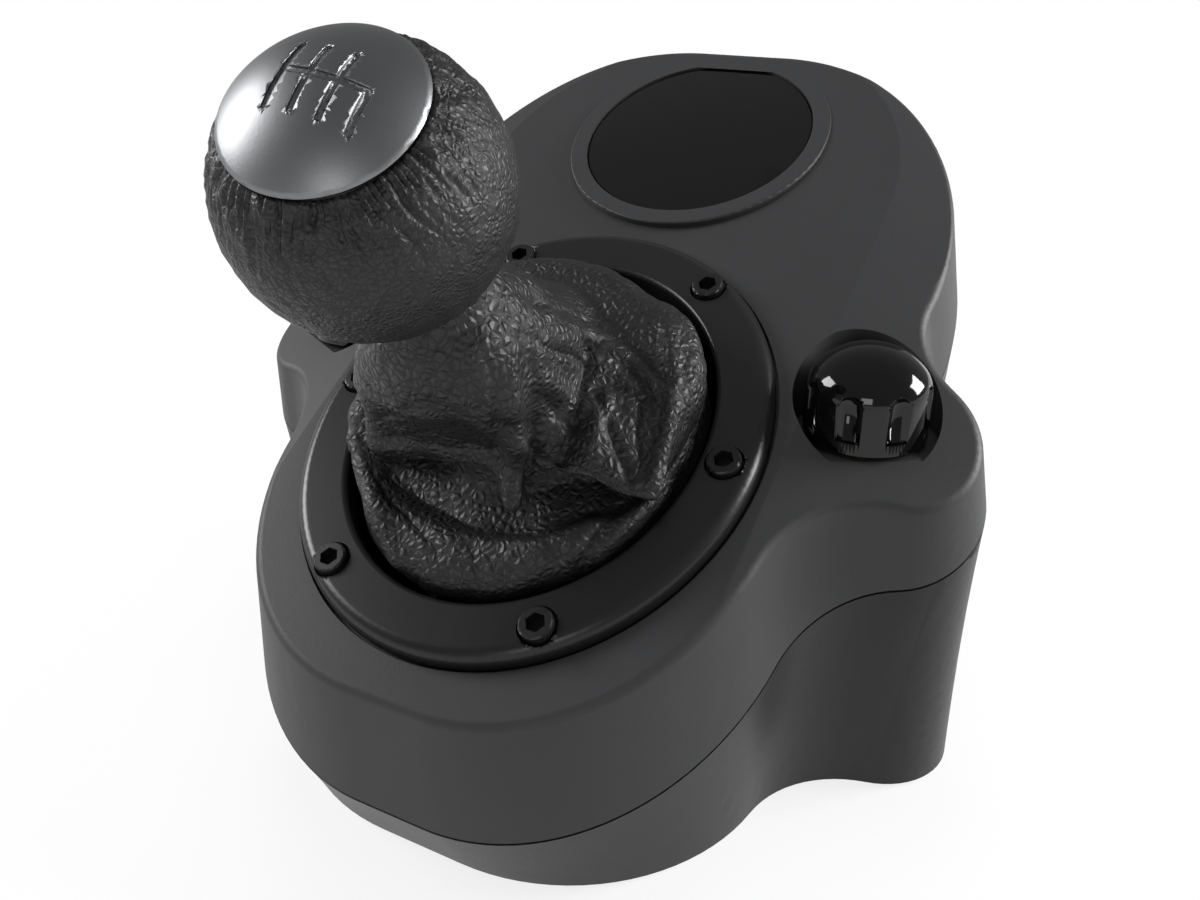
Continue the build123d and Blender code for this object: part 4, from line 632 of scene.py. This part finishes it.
# The level's centre goes over to the lever's line between these heights, in millimetres
LEAN_FROM, LEAN_OVER = 12.0, 16.0
# How far a crease reaches, in half widths, how fast it fades, and how soon it is whole on a surface
# that turns to the camera
CREASE_REACH = 3.0
CREASE_FADE = 1.3
FACING_GAIN = 3.0
# Creases end at this height over the deck and fade out over this depth below it, in metres
CALM_TOP, CALM_DEPTH = 0.042, 0.008
# Noise scale in waves a metre, seed and depth in metres of the gaiter's soft buckles and sharp pleats
BUCKLE_SCALE, BUCKLE_SEED, BUCKLE_DEPTH = 85.0, 3.0, 0.0009
PLEAT_SCALE, PLEAT_SEED, PLEAT_DEPTH = 120.0, 8.0, 0.00035
PLEAT_WIDTH = 2.2
# Both grow from nothing at a skin's first level, by this gain times the share down the skin, up to 1
BUCKLE_GAIN = 4.0
SOFTEN_SHARE, SOFTEN_ROUNDS = 0.5, 2
SEAM_MERGE = 0.00002
GAITER_COLUMNS, UPPER_ROWS, LOWER_ROWS = 330, 190, 90
# The three parts of a noise's shift, as shares of its seed
SEED_SHARES = (1.0, 1.7, -1.0)


def view_place(point):
    """Where a point shows in the camera's picture plane."""
    seen = VIEW_TURN.transposed() @ (point - VIEW_FROM)
    scale = VIEW_LENS / VIEW_SENSOR * PLANE_WIDTH / -seen.z
    return PLANE_WIDTH / 2.0 + seen.x * scale, PLANE_HEIGHT / 2.0 - seen.y * scale


def line_distance(x, y, line):
    """Distance from a place in the picture plane to a line through several places."""
    best = math.inf
    for (x0, y0), (x1, y1) in zip(line, line[1:]):
        dx, dy = x1 - x0, y1 - y0
        t = limited(((x - x0) * dx + (y - y0) * dy) / (dx * dx + dy * dy))
        best = min(best, math.hypot(x - x0 - t * dx, y - y0 - t * dy))
    return best


def press_creases(piece, creases):
    """Moves the corners that face the camera in or out along the creases."""
    normals = [corner.normal.copy() for corner in piece.data.vertices]
    for corner, normal in zip(piece.data.vertices, normals):
        facing = limited(normal.dot((VIEW_FROM - corner.co).normalized()) * FACING_GAIN)
        if facing == 0.0:
            continue
        x, y = view_place(corner.co)
        move = 0.0
        for depth, width, line in creases:
            gap = line_distance(x, y, line) / width
            if gap < CREASE_REACH:
                move += depth * (math.exp(-gap * CREASE_FADE) if depth < 0.0 else math.exp(-gap * gap))
        calm = limited((CALM_TOP - (corner.co - RING).dot(NORMAL)) / CALM_DEPTH)
        corner.co += normal * (move / MILLIMETRES * facing * calm)


def skin_place(levels, angle, share):
    """Place on a skin for an angle in degrees and a share from 0 at its first level to 1 at its last."""
    step = share * (len(levels) - 1)
    radius = along([around(rows, 1, angle) for rows in levels], step) / MILLIMETRES
    height = along([around(rows, 2, angle) for rows in levels], step) / MILLIMETRES
    high = limited((height * MILLIMETRES - LEAN_FROM) / LEAN_OVER)
    centre = -math.tan(LEVER_LEAN) * (height + PIVOT_DEPTH) * high
    turn = math.radians(angle)
    across, up = radius * math.cos(turn), radius * math.sin(turn) + centre
    return RING + RIGHT * across + UPHILL * up + NORMAL * height


def skin_grid(name, columns, rows, place):
    """Closed tube made of a grid: place(angle, share) gives each corner's place."""
    deselect()
    bpy.ops.mesh.primitive_grid_add(x_subdivisions=columns, y_subdivisions=rows, size=1.0, location=(0, 0, 0))
    piece = bpy.context.object
    piece.name = name
    for corner in piece.data.vertices:
        corner.co = place((corner.co.x + 0.5) * FULL_TURN, corner.co.y + 0.5)
    bpy.ops.object.mode_set(mode="EDIT")
    bpy.ops.mesh.select_all(action="SELECT")
    bpy.ops.mesh.remove_doubles(threshold=SEAM_MERGE)
    bpy.ops.mesh.normals_make_consistent(inside=False)
    bpy.ops.object.mode_set(mode="OBJECT")
    return piece


def thicken(piece, thickness):
    """Gives a skin its thickness, inwards."""
    choose(piece)
    wall = piece.modifiers.new("thickness", "SOLIDIFY")
    wall.thickness = thickness
    wall.offset = -1.0
    bpy.ops.object.modifier_apply(modifier=wall.name)


def fold_noise(point, scale, seed):
    """Smooth noise, from about -1 to 1."""
    return noise.noise(point * scale + Vector(SEED_SHARES) * seed)


def leather_skin(name, levels, creases, rows):
    """One skin of the gaiter: its levels, small buckles, creases and thickness."""
    def place(angle, share):
        point = skin_place(levels, angle, share)
        centre = RING + NORMAL * (point - RING).dot(NORMAL)
        out = (point - centre).normalized()
        buckle = fold_noise(point, BUCKLE_SCALE, BUCKLE_SEED) * BUCKLE_DEPTH
        pleat = abs(fold_noise(point, PLEAT_SCALE, PLEAT_SEED))
        buckle -= (1.0 - pleat * PLEAT_WIDTH) ** 3 * PLEAT_DEPTH
        return point + out * (buckle * min(1.0, share * BUCKLE_GAIN))
    piece = skin_grid(name, GAITER_COLUMNS, rows, place)
    press_creases(piece, creases)
    choose(piece)
    soften = piece.modifiers.new("soften", "SMOOTH")
    soften.factor = SOFTEN_SHARE
    soften.iterations = SOFTEN_ROUNDS
    bpy.ops.object.modifier_apply(modifier=soften.name)
    thicken(piece, bpy.context.scene.shifter_sizes.gaiter_thickness)
    bpy.ops.object.shade_smooth()
    piece.data.materials.append(finish("gaiter_leather"))
    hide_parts("gaiter")
    return piece


def keep_part(whole, name, above):
    """Part of a skin over the parting height, or under it, shaded as in the whole."""
    piece = bpy.data.objects.new(name, whole.data.copy())
    bpy.context.scene.collection.objects.link(piece)
    gone = [face.index for face in piece.data.polygons
            if ((face.center - RING).dot(NORMAL) > PARTING) != above]
    work_on(piece, "FACE", gone, lambda: bpy.ops.mesh.delete(type="FACE"))
    shade = piece.modifiers.new("whole_shading", "DATA_TRANSFER")
    shade.object = whole
    shade.use_loop_data = True
    shade.data_types_loops = {"CUSTOM_NORMAL"}
    shade.loop_mapping = "NEAREST_POLYNOR"
    bpy.ops.object.modifier_apply(modifier=shade.name)
    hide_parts("gaiter")
    return piece


class SHIFTER_OT_gaiter(bpy.types.Operator):
    """Folded leather gaiter: a neck, the skin that hangs from it to its hem, and a lower roll to the bezel"""
    bl_idname = "shifter.gaiter"
    bl_label = "Gaiter"

    def execute(self, context):
        whole = leather_skin("gaiter_whole", UPPER_LEVELS, UPPER_CREASES, UPPER_ROWS)
        neck = keep_part(whole, "gaiter_neck", True)
        hem = keep_part(whole, "gaiter_hem", False)
        bpy.data.objects.remove(whole)
        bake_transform(hem)
        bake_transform(neck)
        roll = leather_skin("gaiter_roll", LOWER_LEVELS, LOWER_CREASES, LOWER_ROWS)
        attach(roll, "housing")
        return {"FINISHED"}


# The knob's cover: radii in metres of its ball and of its mouth round the neck, and the angle from the
# cap's axis where the cap's edge covers it
BALL_RADIUS, MOUTH_RADIUS = 0.024, 0.0130
CAP_EDGE = math.radians(42.0)
MOUTH = math.asin(MOUTH_RADIUS / BALL_RADIUS)
COVER_INSET = 0.0001
COVER_COLUMNS, COVER_ROWS = 330, 130
# Wrinkles under the cap, the cover's soft swells, folds at the mouth and the tuck under the cap's edge.
# Reaches are angles in radians, depths are in metres, and each noise has its scales and its seed.
WRINKLES_ROUND = 46.0
WRINKLE_REACH = 0.42
WOBBLE_NOISE, WOBBLE = (3.0, 5.0), 8.0
WRINKLE_NOISE = (14.0, 2.4, 2.0)
EVEN_SHARE, UNEVEN_SHARE = 0.6, 1.6
SWELL_NOISE, SWELL_DEPTH = (9.0, 11.0), 0.00022
MOUTH_NOISE, MOUTH_DEPTH = (7.0, 5.0, 4.0), 0.0011
MOUTH_REACH = 0.3
TUCK_REACH, TUCK_DEPTH = 0.03, 0.00035
CAP_SIDE = (RIGHT - CAP_AXIS * RIGHT.dot(CAP_AXIS)).normalized()
CAP_AHEAD = CAP_AXIS.cross(CAP_SIDE)


def round_noise(turn, polar, round_scale, polar_scale, seed):
    """Noise that runs round the knob and down it at two scales."""
    place = Vector((math.cos(turn) * round_scale, math.sin(turn) * round_scale, polar * polar_scale))
    return fold_noise(place, 1.0, seed)


def knob_place(angle, share):
    """Place on the knob's cover, from the cap's edge at share 0 to the mouth at share 1."""
    turn = math.radians(angle)
    polar = CAP_EDGE + (math.pi - CAP_EDGE - MOUTH) * share
    sideways = CAP_SIDE * math.cos(turn) + CAP_AHEAD * math.sin(turn)
    out = CAP_AXIS * math.cos(polar) + sideways * math.sin(polar)
    near_cap = math.exp(-((polar - CAP_EDGE) / WRINKLE_REACH) ** 2)
    near_mouth = math.exp(-((math.pi - MOUTH - polar) / MOUTH_REACH) ** 2)
    even = math.sin(turn * WRINKLES_ROUND + fold_noise(out, *WOBBLE_NOISE) * WOBBLE)
    uneven = round_noise(turn, polar, *WRINKLE_NOISE)
    ridge = abs(even * EVEN_SHARE + uneven * UNEVEN_SHARE)
    depth = -ridge * bpy.context.scene.shifter_sizes.wrinkle_depth * near_cap
    depth += fold_noise(out, *SWELL_NOISE) * SWELL_DEPTH
    depth -= abs(round_noise(turn, polar, *MOUTH_NOISE)) * MOUTH_DEPTH * near_mouth
    open_share = min(1.0, (polar - CAP_EDGE) / TUCK_REACH)
    radius = BALL_RADIUS - TUCK_DEPTH * (1.0 - open_share) ** 2 - COVER_INSET
    return KNOB + out * (radius + depth)


class SHIFTER_OT_knob(bpy.types.Operator):
    """Leather cover of the ball knob with wrinkles that run in under the cap"""
    bl_idname = "shifter.knob"
    bl_label = "Knob leather"

    def execute(self, context):
        piece = skin_grid("knob_leather_cover", COVER_COLUMNS, COVER_ROWS, knob_place)
        bpy.ops.object.shade_smooth()
        thicken(piece, context.scene.shifter_sizes.cover_thickness)
        piece.data.materials.append(finish("knob_leather"))
        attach(piece, "stick")
        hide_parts("knob_leather")
        return {"FINISHED"}


WHITE = (1.0, 1.0, 1.0, 1.0)
FLOOR_SIZE = 30.0
FLOOR_HEIGHT = -0.0011
FLOOR_ROUGH = 0.9
# The floor is seen shaded near the object and white far from it, between these distances in metres
FADE_DISTANCES = (0.25, 0.70)
WHITE_SHARES = (0.82, 1.0)
WORLD_LIGHT, WORLD_SEEN = 0.26, 1.0
# Lamps: name, place and width in metres, power in watts, and if they show in reflections
LAMPS = (
    ("back_right", (0.85, 0.55, 0.46), 0.45, 16.0, True),
    ("left", (-0.90, -0.20, 0.55), 0.45, 9.0, True),
    ("front", (0.30, -1.00, 0.35), 0.35, 1.6, True),
    ("above", (-0.10, 0.25, 1.10), 0.60, 5.0, False),
)
LAMP_AIM = Vector((0.0, 0.03, 0.08))
CLIP_START = 0.01


def studio_floor(colour):
    """Pale floor that keeps the object's shadow and turns white in the distance."""
    deselect()
    bpy.ops.mesh.primitive_plane_add(size=FLOOR_SIZE, location=(0, 0, FLOOR_HEIGHT))
    floor = bpy.context.object
    floor.name = "studio_floor"
    nodes, links, shader = base_material("studio_floor")
    shader.inputs["Base Color"].default_value = (*colour, 1.0)
    shader.inputs["Roughness"].default_value = FLOOR_ROUGH
    white = nodes.new("ShaderNodeEmission")
    white.inputs["Color"].default_value = WHITE
    ray = nodes.new("ShaderNodeLightPath")
    seen = math_node(nodes, links, "ADD", ray.outputs["Is Camera Ray"], ray.outputs["Is Glossy Ray"])
    far = nodes.new("ShaderNodeVectorMath")
    far.operation = "LENGTH"
    links.new(nodes.new("ShaderNodeTexCoord").outputs["Object"], far.inputs[0])
    fade = remapped(nodes, links, far.outputs["Value"], FADE_DISTANCES, WHITE_SHARES)
    share = math_node(nodes, links, "MULTIPLY", seen, fade.outputs["Result"])
    pale = nodes.new("ShaderNodeMixShader")
    links.new(share, pale.inputs[0])
    links.new(shader.outputs[0], pale.inputs[1])
    links.new(white.outputs[0], pale.inputs[2])
    links.new(pale.outputs[0], nodes["Material Output"].inputs["Surface"])
    floor.data.materials.append(finish("studio_floor"))


def studio_world():
    """Weak white light from all round, seen by the camera as plain white."""
    world = bpy.data.worlds.new("studio")
    bpy.context.scene.world = world
    world.use_nodes = True
    nodes, links = world.node_tree.nodes, world.node_tree.links
    light, seen = nodes["Background"], nodes.new("ShaderNodeBackground")
    for backdrop, strength in ((light, WORLD_LIGHT), (seen, WORLD_SEEN)):
        backdrop.inputs["Color"].default_value = WHITE
        backdrop.inputs["Strength"].default_value = strength
    mix = nodes.new("ShaderNodeMixShader")
    links.new(nodes.new("ShaderNodeLightPath").outputs["Is Camera Ray"], mix.inputs[0])
    links.new(light.outputs[0], mix.inputs[1])
    links.new(seen.outputs[0], mix.inputs[2])
    links.new(mix.outputs[0], nodes["World Output"].inputs["Surface"])


def studio_lamps():
    """Soft square lamps that all point at the object."""
    for name, place, width, power, reflected in LAMPS:
        data = bpy.data.lights.new(name, "AREA")
        data.size = width
        data.energy = power
        lamp = bpy.data.objects.new(name, data)
        lamp.location = place
        lamp.rotation_euler = (LAMP_AIM - Vector(place)).to_track_quat("-Z", "Y").to_euler()
        lamp.visible_glossy = reflected
        bpy.context.scene.collection.objects.link(lamp)


def photo_camera():
    """Camera with the photograph's view."""
    data = bpy.data.cameras.new("photo_camera")
    data.sensor_width = VIEW_SENSOR
    data.lens = VIEW_LENS
    data.clip_start = CLIP_START
    camera = bpy.data.objects.new("photo_camera", data)
    camera.location = VIEW_FROM
    camera.rotation_euler = VIEW_ANGLES
    bpy.context.scene.collection.objects.link(camera)
    bpy.context.scene.camera = camera


class SHIFTER_OT_stage(bpy.types.Operator):
    """Floor, soft lamps, world and the photograph's camera"""
    bl_idname = "shifter.stage"
    bl_label = "Stage"

    def execute(self, context):
        studio_floor(context.scene.shifter_looks.floor_colour)
        studio_world()
        studio_lamps()
        photo_camera()
        context.scene.view_settings.view_transform = "Standard"
        return {"FINISHED"}


STEPS = ("materials", "rigid", "inner", "gaiter", "knob", "stage")


class SHIFTER_PT_panel(bpy.types.Panel):
    """Sizes, colours and steps in the sidebar"""
    bl_idname = "SHIFTER_PT_panel"
    bl_label = "Gear shifter"
    bl_space_type = "VIEW_3D"
    bl_region_type = "UI"
    bl_category = "Shifter"

    def draw(self, context):
        for group in (context.scene.shifter_looks, context.scene.shifter_sizes):
            for name in group.__annotations__:
                self.layout.prop(group, name)
        for step in STEPS:
            self.layout.operator("shifter." + step)


CLASSES = (ShifterLooks, ShifterSizes, SHIFTER_OT_materials, SHIFTER_OT_rigid, SHIFTER_OT_inner,
           SHIFTER_OT_gaiter, SHIFTER_OT_knob, SHIFTER_OT_stage, SHIFTER_PT_panel)


def register():
    """Registers the classes and hangs the two groups of values on the scene."""
    for item in CLASSES:
        bpy.utils.register_class(item)
    bpy.types.Scene.shifter_looks = bpy.props.PointerProperty(type=ShifterLooks)
    bpy.types.Scene.shifter_sizes = bpy.props.PointerProperty(type=ShifterSizes)


def unregister():
    """Takes back what register added."""
    del bpy.types.Scene.shifter_sizes
    del bpy.types.Scene.shifter_looks
    for item in reversed(CLASSES):
        bpy.utils.unregister_class(item)


def main():
    """Dresses the part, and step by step."""
    register()
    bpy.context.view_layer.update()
    for step in STEPS:
        getattr(bpy.ops.shifter, step)()


if __name__ == "__main__":
    main()
